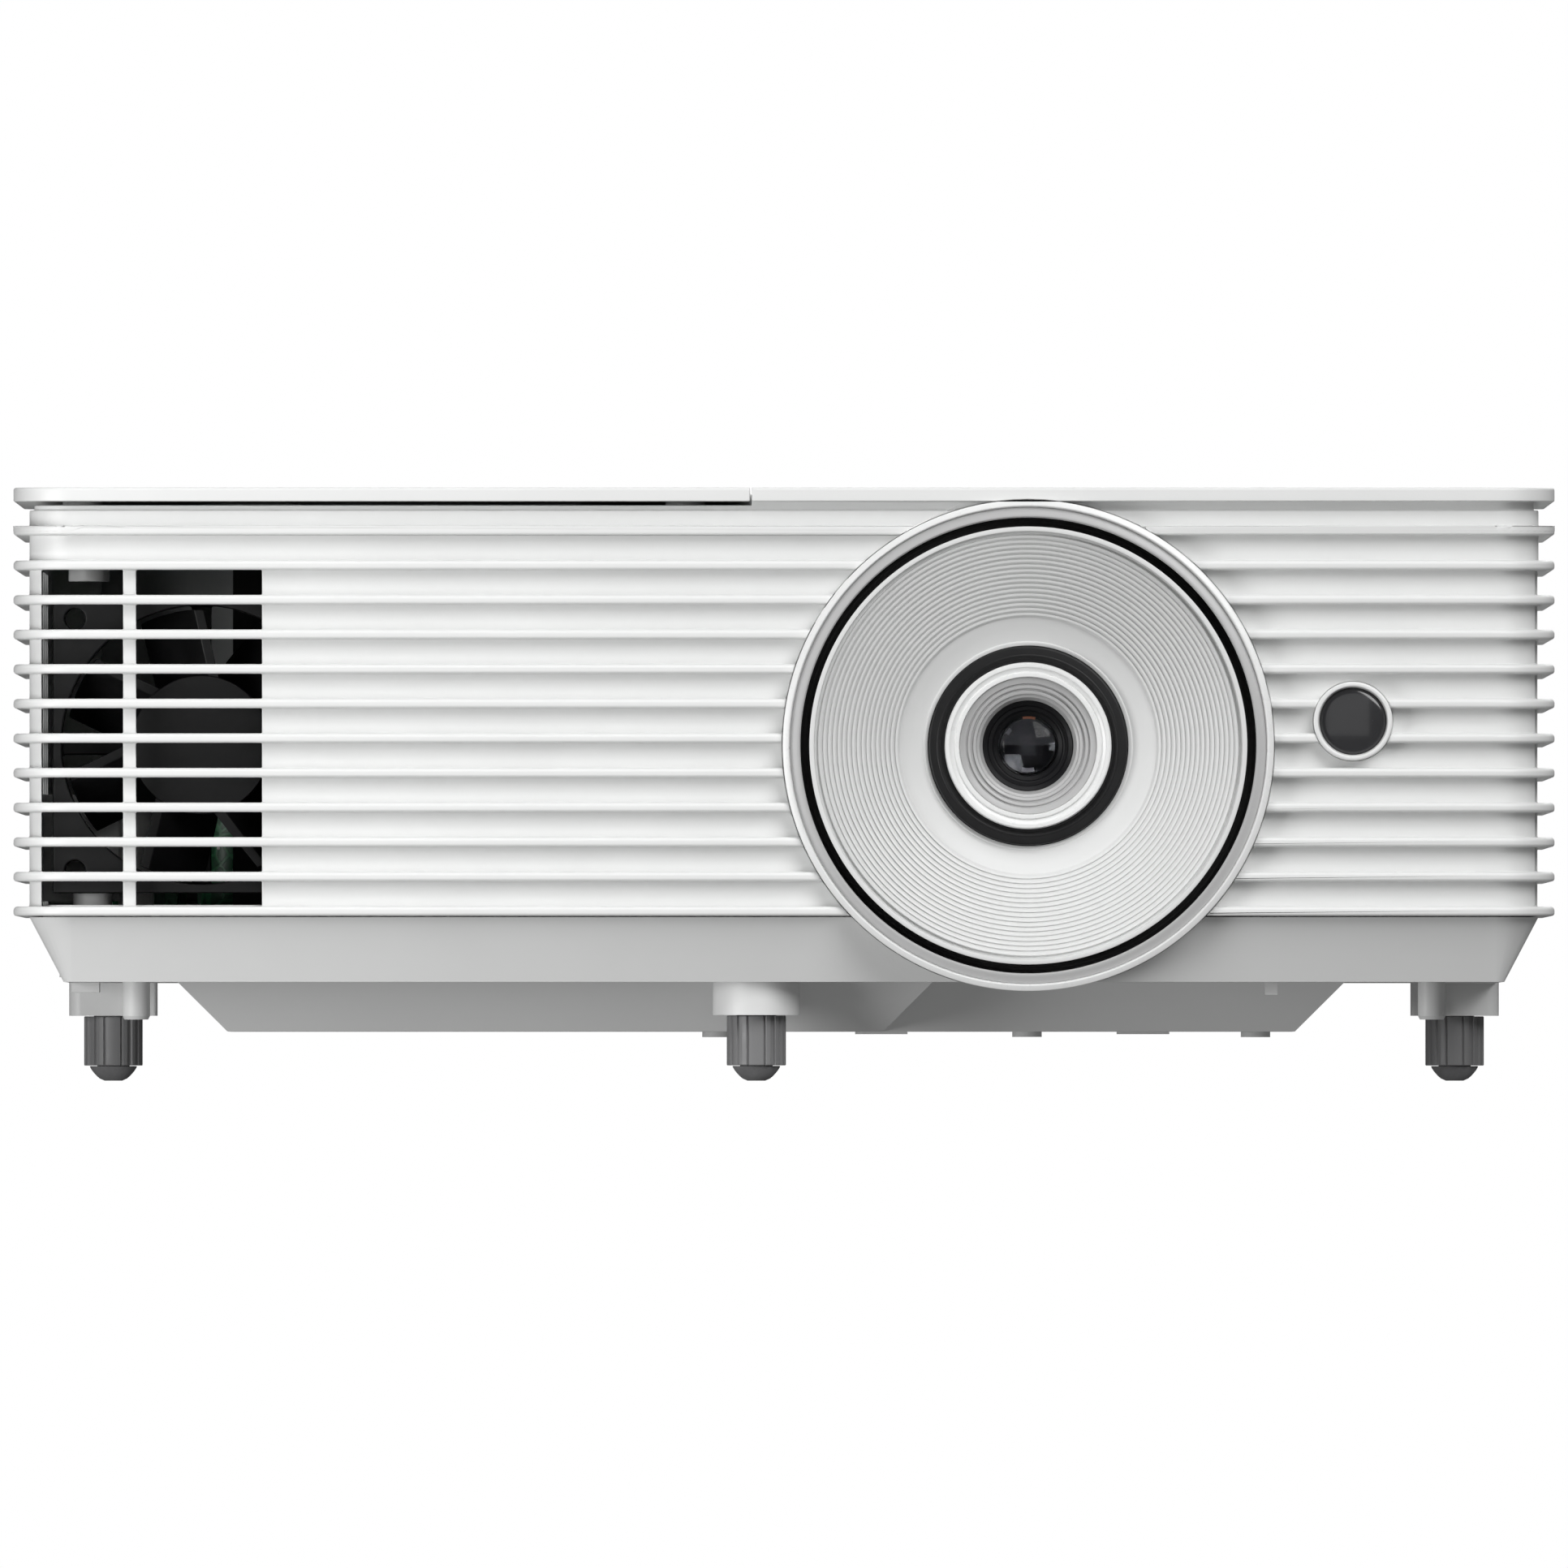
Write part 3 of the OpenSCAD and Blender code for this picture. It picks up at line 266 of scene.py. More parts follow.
CASE_WHITE = (0.80, 0.805, 0.80)
MATERIALS = {
    "white_case": plastic("white_case_plastic", CASE_WHITE, 0.42),
    "white_lower_case": plastic("white_lower_case_plastic", shade(CASE_WHITE, 0.97), 0.46,
                                grain=0.018, grain_scale=2000),
    "white_trim": plastic("white_trim_plastic", shade(CASE_WHITE, 1.03), 0.3, grain=0.004,
                          coat=0.15),
    "white_dish": plastic("white_dish_plastic", shade(CASE_WHITE, 0.92), 0.5, grain=0.01),
    "black_rubber": rubber("black_rubber", (0.004, 0.004, 0.004)),
    "window_plastic": dark_gloss("window_plastic", (0.03, 0.03, 0.032), 0.12),
    "panel_grey": plastic("panel_grey_plastic", (0.36, 0.37, 0.37), 0.45),
    "key_grey": plastic("key_grey_plastic", (0.55, 0.56, 0.57), 0.38, grain=0.006),
    "clear_plastic": glass("clear_plastic", (0.8, 0.9, 0.95), rough=0.12, ior=1.49),
    "black_plastic": plastic("black_plastic", (0.006, 0.006, 0.0065), 0.45, grain=0.014,
                             mottle=0.12, specular=0.35),
    "foot_grey": plastic("foot_grey_plastic", (0.21, 0.21, 0.213), 0.48, grain=0.015),
    "foot_rubber": rubber("foot_rubber", (0.15, 0.15, 0.153)),
    "lens_glass": glass("lens_glass", (0.93, 0.95, 0.97), ior=1.2),
    "cast_metal": metal("cast_metal", (0.46, 0.47, 0.48), 0.52, scale=500, depth=0.05,
                        spots=0.12),
    "bright_metal": metal("bright_metal", (0.72, 0.73, 0.74), 0.34, stretch=(1, 40, 1),
                          scale=60),
    "steel": metal("steel", (0.6, 0.6, 0.61), 0.28, scale=1400),
    "brass": metal("brass", (0.78, 0.56, 0.24), 0.3, stretch=(1, 1, 30), scale=80),
    "mirror": metal("mirror", (0.86, 0.87, 0.9), 0.12, scale=300, depth=0.001,
                    spots=0.02),
    "circuit_board": circuit_board("circuit_board"),
    "wheel_glass": glass("wheel_glass", (0.62, 0.5, 0.85), film=380),
    "socket_blue": plastic("socket_blue_plastic", (0.03, 0.07, 0.3), 0.4),
}

TRIM_GREY = plastic("trim_grey_plastic", (0.47, 0.47, 0.47), 0.36, grain=0.004)
RETAINER_BLACK = plastic("retainer_black", (0.006, 0.006, 0.007), 0.45, grain=0.006,
                         specular=0.2)
# Flat colours of the painted reflections in the lens: light grey for a painted highlight, dark
# grey for painted glints, amber for a painted reflection.
BOTTOM_HIGHLIGHT_PAINT = plastic("painted_bottom_highlight", (0.5, 0.5, 0.49), 0.4)
SIDE_GLINT_PAINT = plastic("painted_side_glints", (0.12, 0.12, 0.12), 0.4)
AMBER_REFLECTION_PAINT = plastic("painted_amber_reflection", (0.3, 0.07, 0.015), 0.3, mottle=0.3)

for name, slot in slots.items():
    mesh = nodes[name].data
    mesh.materials.clear()
    mesh.materials.append(MATERIALS[slot])


# ---- Rounded edges on the CAD nodes --------------------------------------------------

EDGE = 0.2 * MM
EDGES = {
    "upper_case": 0.25 * MM, "lower_case": 0.4 * MM, "lamp_cover": 0.25 * MM,
    "lamp_housing": 0.5 * MM, "engine_housing": 0.8 * MM, "exhaust_fan_frame": 0.4 * MM,
    "blower_case": 0.3 * MM, "ballast_board": 0.3 * MM, "power_board": 0.3 * MM,
    "case_screws": 0.1 * MM, "lamp_cover_screw": 0.12 * MM, "keypad_panel": 0.12 * MM,
    "dsub_ports": 0.08 * MM, "hdmi_ports": 0.08 * MM, "usb_port": 0.08 * MM,
    "main_board": 0.15 * MM, "blower_rotor": 0.1 * MM, "exhaust_fan_rotor": 0.2 * MM,
}
# Holes near the edges of these tear a wide bevel, so theirs is clamped.
CLAMPED = ("lower_case", "wheel_motor", "lamp_handle")


def soften(piece, width, segments=2):
    """Rounds a CAD node's hard edges: joins its triangles into flats, then bevels."""
    weld = piece.modifiers.new("weld", "WELD")
    weld.merge_threshold = 0.002 * MM
    flats = piece.modifiers.new("flats", "DECIMATE")
    flats.decimate_type = "DISSOLVE"
    flats.angle_limit = math.radians(0.5)
    bevel = piece.modifiers.new("bevel", "BEVEL")
    bevel.width = width
    bevel.segments = segments
    bevel.limit_method = "ANGLE"
    bevel.angle_limit = math.radians(35)
    bevel.use_clamp_overlap = piece.name in CLAMPED
    normals = piece.modifiers.new("normals", "WEIGHTED_NORMAL")
    normals.keep_sharp = False


# ---- Building pieces -----------------------------------------------------------------

def fillet(points, steps):
    """Rounds the corners of a closed outline. Each point is (a, b) or (a, b, radius)."""
    rounded = []
    count = len(points)
    for i, point in enumerate(points):
        corner = Vector(point[:2])
        radius = point[2] if len(point) > 2 else 0
        if not radius:
            rounded.append(corner)
            continue
        before = Vector(points[i - 1][:2]) - corner
        after = Vector(points[(i + 1) % count][:2]) - corner
        half = before.angle(after) / 2
        reach = min(radius / math.tan(half), 0.48 * before.length, 0.48 * after.length)
        start = corner + before.normalized() * reach
        end = corner + after.normalized() * reach
        for s in range(steps + 1):
            t = s / steps
            rounded.append((1 - t) ** 2 * start + 2 * t * (1 - t) * corner + t * t * end)
    return [tuple(p) for p in rounded]


def fluting(teeth, depth):
    """Depth at an angle of so many narrow grooves round a circle."""
    return lambda angle: depth * max(0.0, math.cos(teeth * angle)) ** 5


def turn(outline, centre, axis="Y", steps=192, depth=None, fluted=None):
    """Solid of revolution. outline is a closed list of (radius, height) in metres about an
    axis through centre; depth(angle) is cut from points in fluted = (low, high, radius)."""
    bm = bmesh.new()
    rings = []
    for radius, height in outline:
        if radius < 1e-7:
            rings.append([bm.verts.new(on_axis(0, 0, height, centre, axis))])
            continue
        cut = fluted and fluted[0] <= height <= fluted[1] and radius >= fluted[2]
        ring = []
        for s in range(steps):
            angle = math.tau * s / steps
            r = radius - depth(angle) if cut else radius
            ring.append(bm.verts.new(on_axis(r * math.cos(angle), r * math.sin(angle),
                                             height, centre, axis)))
        rings.append(ring)
    for i, ring in enumerate(rings):
        join_rings(bm, rings[i - 1], ring, steps)
    return bm


def on_axis(u, v, height, centre, axis):
    """Point at (u, v) across an axis and height along it."""
    if axis == "Y":
        return (centre.x + u, height, centre.z + v)
    return (centre.x + u, centre.y + v, height)


def join_rings(bm, first, second, steps):
    """Faces between two rings, either of which may be a single point."""
    if len(first) == 1 and len(second) == 1:
        return
    for s in range(steps):
        t = (s + 1) % steps
        corners = [first[s % len(first)], first[t % len(first)],
                   second[t % len(second)], second[s % len(second)]]
        unique = list(dict.fromkeys(corners))
        bm.faces.new(unique)


def add_piece(name, bm, body, slot, material=None, replaces=(), sharp=32):
    """Makes an object of the mesh, smooth below the sharp angle, and ties it to the frame."""
    bmesh.ops.recalc_face_normals(bm, faces=bm.faces)
    mesh = bpy.data.meshes.new(name)
    bm.to_mesh(mesh)
    bm.free()
    mesh.materials.append(material or MATERIALS[slot])
    mesh.polygons.foreach_set("use_smooth", [True] * len(mesh.polygons))
    mesh.set_sharp_from_angle(angle=math.radians(sharp))
    piece = bpy.data.objects.new(name, mesh)
    scene.collection.objects.link(piece)
    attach(piece, body)
    if replaces:
        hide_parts(*replaces)
    return piece


def mm_outline(points, steps=4):
    """Rounded outline in metres from one in millimetres."""
    return [(a * MM, b * MM) for a, b in fillet(points, steps)]


# ---- Case mouldings ------------------------------------------------------------------

shell_low, shell_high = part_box("upper_case")
CORNER_R = 12 * MM
RIB_T = 1.9 * MM
RIB_PITCH = 7 * MM
RIB_COUNT = 12
first_rib_z = shell_low.z + RIB_T / 2
deck_low_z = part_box("lamp_cover")[0].z


def plan_corners(steps=12):
    """Centres and outward directions of the case's four plan corners, in order."""
    for k, (sx, sy) in enumerate(((1, -1), (1, 1), (-1, 1), (-1, -1))):
        at_x = shell_high.x - CORNER_R if sx > 0 else shell_low.x + CORNER_R
        at_y = shell_high.y - CORNER_R if sy > 0 else shell_low.y + CORNER_R
        for s in range(steps + 1):
            angle = math.radians(-90 + 90 * (k + s / steps))
            yield Vector((at_x, at_y)), Vector((math.cos(angle), math.sin(angle)))


def sweep_plan(bm, profile):
    """Ring round the case from a closed profile of (inset from the rib edge, height)."""
    rings = []
    for corner, away in plan_corners():
        ring = []
        for inset, z in profile:
            point = corner + away * (CORNER_R - inset)
            ring.append(bm.verts.new((point.x, point.y, z)))
        rings.append(ring)
    count = len(profile)
    for i, ring in enumerate(rings):
        for k in range(count):
            bm.faces.new((rings[i - 1][k], rings[i - 1][(k + 1) % count],
                          ring[(k + 1) % count], ring[k]))


def round_nose(bm, low, high, low_radius, high_radius, steps=6):
    """Adds the waste round the edge of a plate between two heights, to leave a round nose."""
    spare, shave = 0.4 * MM, 0.05 * MM
    profile = [(-spare, high + spare), (high_radius, high + spare)]
    for s in range(steps + 1):
        angle = math.radians(90 * s / steps)
        rise = 0.02 * MM if s == 0 else 0
        profile.append((shave + (high_radius - shave) * (1 - math.sin(angle)),
                        high + rise - high_radius * (1 - math.cos(angle))))
    for s in range(steps + 1):
        angle = math.radians(90 * (1 - s / steps))
        rise = 0.02 * MM if s == steps else 0
        profile.append((shave + (low_radius - shave) * (1 - math.sin(angle)),
                        low - rise + low_radius * (1 - math.cos(angle))))
    profile += [(low_radius, low - spare), (-spare, low - spare)]
    sweep_plan(bm, profile)


def apply_modifiers(piece):
    """Gives a piece the mesh that its modifiers make, and drops them."""
    mesh = bpy.data.meshes.new_from_object(
        piece.evaluated_get(bpy.context.evaluated_depsgraph_get()))
    piece.modifiers.clear()
    piece.data = mesh


def carved(node, name, waste):
    """Copy of a CAD node with the waste cut off and its edges rounded, which stands for it."""
    bmesh.ops.recalc_face_normals(waste, faces=waste.faces)
    tool_mesh = bpy.data.meshes.new("waste")
    waste.to_mesh(tool_mesh)
    waste.free()
    tool = bpy.data.objects.new("waste", tool_mesh)
    scene.collection.objects.link(tool)
    source = nodes[node]
    mesh = source.data.copy()
    for attribute in ("custom_normal", "sharp_edge"):
        if attribute in mesh.attributes:
            mesh.attributes.remove(mesh.attributes[attribute])
    piece = bpy.data.objects.new(name, mesh)
    scene.collection.objects.link(piece)
    weld = piece.modifiers.new("weld", "WELD")
    weld.merge_threshold = 0.002 * MM
    cut = piece.modifiers.new("cut", "BOOLEAN")
    cut.operation = "DIFFERENCE"
    cut.solver = "MANIFOLD"
    cut.object = tool
    apply_modifiers(piece)
    bpy.data.objects.remove(tool)
    piece.data.materials.clear()
    piece.data.materials.append(MATERIALS[slots[node]])
    piece.data.polygons.foreach_set("use_smooth", [True] * len(piece.data.polygons))
    soften(piece, EDGES.get(node, EDGE))
    apply_modifiers(piece)
    # A few corners of the rounding land outside the case, so they are brought back to it.
    for vertex in piece.data.vertices:
        for k in range(3):
            vertex.co[k] = min(max(vertex.co[k], cad_low[k]), cad_high[k])
    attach(piece, source["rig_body"])
    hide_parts(node)


def round_deck(bm):
    """Adds the waste round the edge of the deck and the lamp cover, which lie level."""
    round_nose(bm, deck_low_z, shell_high.z, 0.5 * MM, 0.55 * MM)


waste = bmesh.new()
for i in range(RIB_COUNT):
    z = first_rib_z + i * RIB_PITCH
    round_nose(waste, z - RIB_T / 2, z + RIB_T / 2, 0.6 * MM, 0.85 * MM)
round_deck(waste)
carved("upper_case", "upper_case_shell", waste)
waste = bmesh.new()
round_deck(waste)
carved("lamp_cover", "lamp_cover_lid", waste)

for name, node in nodes.items():
    soften(node, EDGES.get(name, EDGE))


# ---- Front of the lens ---------------------------------------------------------------

lens = Vector((middle("lens_bezel").x, 0, middle("lens_dish").z))
bezel_r = half_width("lens_bezel")
bezel_front, bezel_back = front_and_back("lens_bezel")
rib_front = front_and_back("upper_case")[0]
GAP_OUT, GAP_IN = 46.1, 44.3
LIP_R = 48.2
FINE_STEPS = 288
lip_back = bezel_front + 1.6

# Behind the ribs the bezel is a little smaller, to pass under the deck.
neck_r = bezel_r - 0.35
neck_front = rib_front + 0.1
bezel = turn(mm_outline([
    (GAP_OUT, bezel_back), (neck_r, bezel_back, 0.2), (neck_r, neck_front, 0.05),
    (bezel_r, neck_front, 0.05), (bezel_r, bezel_front + 0.45, 0.3),
    (LIP_R + 0.25, bezel_front, 0.25), (LIP_R, bezel_front + 1.0, 0.1), (LIP_R, lip_back),
    (GAP_OUT, lip_back)]), lens, steps=FINE_STEPS)
# The deck rests on the bezel, so the bezel's top is cut flat.
flat_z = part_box("lens_bezel")[1].z
bmesh.ops.bisect_plane(bezel, geom=bezel.verts[:] + bezel.edges[:] + bezel.faces[:],
                       plane_co=(0, 0, flat_z), plane_no=(0, 0, 1), clear_outer=True)
bmesh.ops.holes_fill(bezel, edges=[e for e in bezel.edges if e.is_boundary])
add_piece("bezel_ring", bezel, "case", "white_trim", replaces=["lens_bezel"])
add_piece("bezel_inner_ring", turn(mm_outline([
    (LIP_R - 0.05, lip_back), (LIP_R - 0.05, bezel_front + 0.95, 0.05),
    (46.75, bezel_front + 0.5, 0.1), (46.35, bezel_front + 0.45, 0.15),
    (GAP_OUT, bezel_front + 0.9, 0.15), (GAP_OUT, lip_back)]),
    lens, steps=FINE_STEPS), "case", "white_trim", material=TRIM_GREY)

gasket_front, gasket_back = front_and_back("bezel_gasket")
add_piece("gap_ring", turn(mm_outline([
    (GAP_IN, gasket_back), (GAP_OUT, gasket_back), (GAP_OUT, gasket_front, 0.3),
    (45.4, gasket_front + 1.2, 0.5), (GAP_IN, gasket_front + 0.6, 0.3)]), lens, steps=256),
    "case", "black_rubber", replaces=["bezel_gasket"])

# Each groove has a gentle face and then a steep wall, and the last is nearest the hole.
dish_front, dish_back = front_and_back("lens_dish")
GROOVES = 17
GROOVED = (42.5, 25.95)
HOLE_R = 20.3
BAND_DROP = 2.2
hole_front = dish_front + 15.3
grooved_front, grooved_back = dish_front + 1.5, hole_front - BAND_DROP
tread = (GROOVED[0] - GROOVED[1]) / GROOVES
drop = (grooved_back - grooved_front) / GROOVES
rim_back = dish_back - 9
funnel = [(GAP_IN, rim_back), (GAP_IN, dish_front, 0.25), (43.35, dish_front, 0.2),
          (43.2, dish_front + 2.0, 0.05), (42.65, dish_front + 2.4, 0.05)]
for i in range(GROOVES):
    r, y = GROOVED[0] - i * tread, grooved_front + i * drop
    funnel.append((r, y, 0.06))
    funnel.append((r - 0.5 * tread, y + 0.26 * drop, 0.05))
    funnel.append((r - 0.97 * tread, y + 1.65 * drop, 0.05))
# A smooth band flattens from the last groove to the bead round the hole.
funnel += [(25.6, grooved_back + 0.6, 0.1), (24.7, grooved_back + 0.95),
           (24.0, grooved_back + 1.3), (23.2, grooved_back + 1.55),
           (21.2, grooved_back + BAND_DROP, 0.1), (20.95, hole_front - 0.25, 0.1),
           (HOLE_R, hole_front - 0.15, 0.08), (HOLE_R, dish_back, 0.2),
           (GROOVED[1], dish_back - 0.2), (42, dish_front + 4.8), (42, rim_back)]
add_piece("lens_funnel", turn(mm_outline(funnel, steps=2), lens, steps=288),
          "case", "white_dish", replaces=["lens_dish"], sharp=20)

# ---- Focus ring, front cell and glass ------------------------------------------------

focus_front, focus_back = front_and_back("focus_ring")
grip_r = half_width("zoom_ring")
grip_inner_r = grip_r - 2.4
SLEEVE_R = 16.95
TUBE_R = 20.15
HUB_IN, HUB_R = 19.3, 21.3
TEETH = 36
TOOTH_STEPS = 14
TOOTH_DEPTH = 0.6 * MM
GRIP_LENGTH = 13.3
grip_front = focus_back - GRIP_LENGTH
add_piece("focus_grip", turn(mm_outline([
    (SLEEVE_R, grip_front), (SLEEVE_R, focus_front + 0.8), (17.35, focus_front + 0.8, 0.1),
    (18.05, focus_front + 0.05, 0.15), (18.35, focus_front + 0.05, 0.1),
    (18.5, focus_front + 0.15, 0.1), (TUBE_R, focus_front + 0.15, 0.45),
    (TUBE_R, grip_front, 0.3),
    (grip_r, grip_front, 0.5), (grip_r, focus_back, 0.5), (grip_inner_r, focus_back, 0.3),
    (grip_inner_r, grip_front + 2, 0.4), (HUB_R, grip_front + 2, 0.4),
    (HUB_R, focus_back, 0.2), (HUB_IN, focus_back), (HUB_IN, grip_front + 0.2)]),
    lens, steps=TEETH * TOOTH_STEPS, depth=fluting(TEETH, TOOTH_DEPTH),
    fluted=((grip_front + 0.6) * MM, (focus_back - 0.6) * MM, (grip_r - 0.1) * MM)),
    "focus_ring", "black_plastic", replaces=["focus_ring"])

cell_r = half_width("front_lens_cell")
cell_front, cell_back = front_and_back("front_lens_cell")
RETAINER_R = 9.2
add_piece("lens_cell_trim", turn(mm_outline([
    (14.7, cell_back), (cell_r, cell_back, 0.1), (cell_r, cell_front + 1.2, 0.05),
    (16.7, cell_front + 1.2), (16.7, cell_front, 0.2), (15.95, cell_front, 0.15),
    (15.75, cell_front + 0.3, 0.1), (14.95, cell_front + 0.7, 0.1),
    (14.75, cell_front + 0.2, 0.1), (14.0, cell_front + 0.2, 0.12),
    (13.85, cell_front + 1.0, 0.05), (13.85, cell_front + 2.6), (14.7, cell_front + 4)]),
    lens, steps=256), "focus_cell", "white_trim", replaces=["front_lens_cell"])
cone = [(13.82, 2.6), (13.82, 0.9, 0.05), (12.65, 1.25, 0.1), (12.55, 1.9, 0.05),
        (12.35, 1.9, 0.05), (12.2, 1.6, 0.12), (11.65, 1.75, 0.1), (11.5, 2.5, 0.05),
        (11.25, 2.5, 0.05), (11.1, 2.15, 0.12), (10.55, 2.35, 0.1), (10.35, 3.1, 0.05),
        (9.85, 3.3, 0.1), (RETAINER_R, 5.6, 0.1), (RETAINER_R, 7.4), (12, 7.4)]
add_piece("lens_cell_cone", turn(mm_outline([(p[0], cell_front + p[1], *p[2:]) for p in cone]),
                                 lens, steps=256), "focus_cell", "white_trim",
          material=TRIM_GREY)

# The black retainer holds the front glass; rings turned into it catch thin highlights.
glass_front = front_and_back("front_lens")[0]
add_piece("glass_retainer", turn(mm_outline([
    (RETAINER_R, glass_front + 1.5), (RETAINER_R, glass_front - 1.2, 0.2),
    (8.2, glass_front - 0.6, 0.1), (8.0, glass_front, 0.1),
    (7.4, glass_front, 0.1), (7.2, glass_front + 0.1, 0.1),
    (7.0, glass_front + 0.7, 0.1), (6.2, glass_front + 1.2, 0.1),
    (6.0, glass_front + 1.5)]), lens, steps=160),
    "focus_cell", "black_plastic", material=RETAINER_BLACK)


def lens_element(radius, front_y, front_curve, back_curve, thickness, steps=20):
    """Outline of a lens in metres: curves are its faces' radii in mm, positive if convex."""
    def sag(r, curve):
        return (abs(curve) - math.sqrt(curve * curve - r * r)) * math.copysign(1, curve)
    outline = []
    for s in range(steps + 1):
        r = radius * s / steps
        outline.append((r, front_y + sag(r, front_curve)))
    for s in range(steps, -1, -1):
        r = radius * s / steps
        outline.append((r, front_y + thickness - sag(r, back_curve)))
    return [(a * MM, b * MM) for a, b in outline]


add_piece("front_glass", turn(lens_element(6.3, glass_front, 14, 40, 4.2), lens,
                              steps=128), "focus_cell", "lens_glass",
          replaces=["front_lens"])
add_piece("second_glass", turn(lens_element(5.2, glass_front + 5.6, -14, 16, 3.0), lens,
                               steps=128), "focus_cell", "lens_glass",
          material=glass("violet_coated_glass", (0.6, 0.58, 0.66), ior=1.28))
baffle_front = glass_front + 4.9
add_piece("lens_baffle", turn(mm_outline([
    (5.3, baffle_front + 0.3, 0.1), (5.6, baffle_front, 0.1), (6.4, baffle_front, 0.1),
    (6.7, baffle_front - 0.6), (12.2, baffle_front - 0.6), (12.2, baffle_front + 8),
    (5.35, baffle_front + 8)]), lens, steps=128), "focus_cell", "black_plastic",
    material=RETAINER_BLACK)
stop_front, stop_back = baffle_front + 7, baffle_front + 7.8
add_piece("lens_stop", turn(mm_outline([
    (0, stop_front), (5.3, stop_front), (5.3, stop_back), (0, stop_back)]), lens, steps=64),
    "focus_cell", "black_plastic", material=RETAINER_BLACK)


def glint_arc(name, angle, width, inner, outer, front, material):
    """Small arc-shaped patch round the lens axis for a painted reflection: width in mm,
    centred at an angle in degrees.
    """
    bm = bmesh.new()
    back = front + 0.5
    half = width / 2 / ((inner + outer) / 2)
    rings = []
    for s in range(9):
        around = math.radians(angle) + half * (s / 4 - 1)
        rings.append([bm.verts.new((lens.x + r * MM * math.cos(around), y * MM,
                                    lens.z + r * MM * math.sin(around)))
                      for r, y in ((inner, front), (outer, front), (outer, back),
                                   (inner, back))])
    for first, second in zip(rings, rings[1:]):
        for k in range(4):
            m = (k + 1) % 4
            bm.faces.new((first[k], first[m], second[m], second[k]))
    bm.faces.new(rings[0])
    bm.faces.new(rings[-1])
    add_piece(name, bm, "focus_cell", "black_plastic", material=material)


# Painted reflections in the lens: a light grey highlight below, dark grey glints upper left
# and right, an amber one above.
for name, angle, width in (("upper_left", 143, 1.2), ("upper_right", 37, 1.2),
                           ("lower", 270, 2.4)):
    glint_arc(f"{name}_painted_glint_patch", angle, width, 4.2, 5.0, baffle_front + 0.1,
            BOTTOM_HIGHLIGHT_PAINT if name == "lower" else SIDE_GLINT_PAINT)
glint_arc("painted_amber_reflection", 88, 2.6, 5.3, 6.5, baffle_front - 0.8, AMBER_REFLECTION_PAINT)

# ---- Zoom ring -----------------------------------------------------------------------

zoom_front, zoom_back = front_and_back("zoom_ring")
zoom_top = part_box("zoom_ring")[1].z
web_front, web_back = zoom_front + 6, zoom_front + 8
zoom = turn(mm_outline([
    (HUB_IN, zoom_front), (HUB_R, zoom_front, 0.2), (HUB_R, web_front, 0.4),
    (grip_inner_r, web_front, 0.4), (grip_inner_r, zoom_front, 0.3),
    (grip_r, zoom_front, 0.5), (grip_r, zoom_back, 0.5), (grip_inner_r, zoom_back, 0.3),
    (grip_inner_r, web_back, 0.4), (HUB_R, web_back, 0.4), (HUB_R, zoom_back, 0.2),
    (HUB_IN, zoom_back)]),
    lens, steps=TEETH * TOOTH_STEPS, depth=fluting(TEETH, TOOTH_DEPTH),
    fluted=((zoom_front + 0.6) * MM, (zoom_back - 0.6) * MM, (grip_r - 0.1) * MM))
add_piece("zoom_grip", zoom, "zoom_ring", "black_plastic", replaces=["zoom_ring"])


def bar(low, high, edge):
    """Box with rounded edges between two corners."""
    bm = bmesh.new()
    bmesh.ops.create_cube(bm, size=1)
    for v in bm.verts:
        v.co = Vector(low[k] + (v.co[k] + 0.5) * (high[k] - low[k]) for k in range(3))
    bmesh.ops.bevel(bm, geom=bm.edges[:] + bm.verts[:], offset=edge, segments=4,
                    profile=0.5, affect="EDGES")
    return bm


LEVER_HALF = 3.5 * MM
lever_low = Vector((lens.x - LEVER_HALF, (zoom_front + 4) * MM, lens.z + (grip_r - 2) * MM))
lever_high = Vector((lens.x + LEVER_HALF, (zoom_front + 10) * MM, zoom_top))
lever = bar(lever_low, lever_high, 1.4 * MM)
add_piece("zoom_lever", lever, "zoom_ring", "black_plastic")
for i in range(3):
    z = zoom_top - (3.2 + 2.2 * i) * MM
    rib = bar((lever_low.x + 0.6 * MM, lever_low.y - 0.25 * MM, z),
              (lever_high.x - 0.6 * MM, lever_high.y + 0.25 * MM, z + 0.9 * MM), 0.3 * MM)
    add_piece(f"zoom_lever_rib_{i + 1}", rib, "zoom_ring", "black_plastic")

# ---- Receiver window -----------------------------------------------------------------

ir = middle("ir_bezel")
ir_front, ir_back = front_and_back("ir_bezel")
IR_R = 8.0
add_piece("receiver_ring", turn(mm_outline([
    (6.8, ir_back), (10, ir_back), (10, ir_back - 1.2, 0.2), (IR_R, ir_back - 1.2),
    (IR_R, ir_front, 0.45), (7.05, ir_front, 0.35), (6.8, ir_front + 1.4, 0.1)]),
    ir, steps=160), "case", "white_trim", replaces=["ir_bezel"])
window_front, window_back = front_and_back("ir_window")
window = [(0, window_back), (8.5, window_back, 0.2), (8.5, window_back - 1, 0.2),
          (6.7, window_back - 1), (6.7, window_front + 0.8, 0.35)]
window += [(6.2 * (1 - s / 10), window_front + 0.5 * (1 - s / 10) ** 2)
           for s in range(11)]
add_piece("receiver_window", turn(mm_outline(window), ir, steps=160),
          "case", "window_plastic", replaces=["ir_window"], sharp=60)

# ---- Feet ----------------------------------------------------------------------------

# Half width of a wide ridge, and the place and half width of narrow ones, in degrees.
WIDE_RIDGE, NARROW_RIDGES = 14, ((24.5, 5), (45, 4))
GRIP_DEPTH = 0.45 * MM


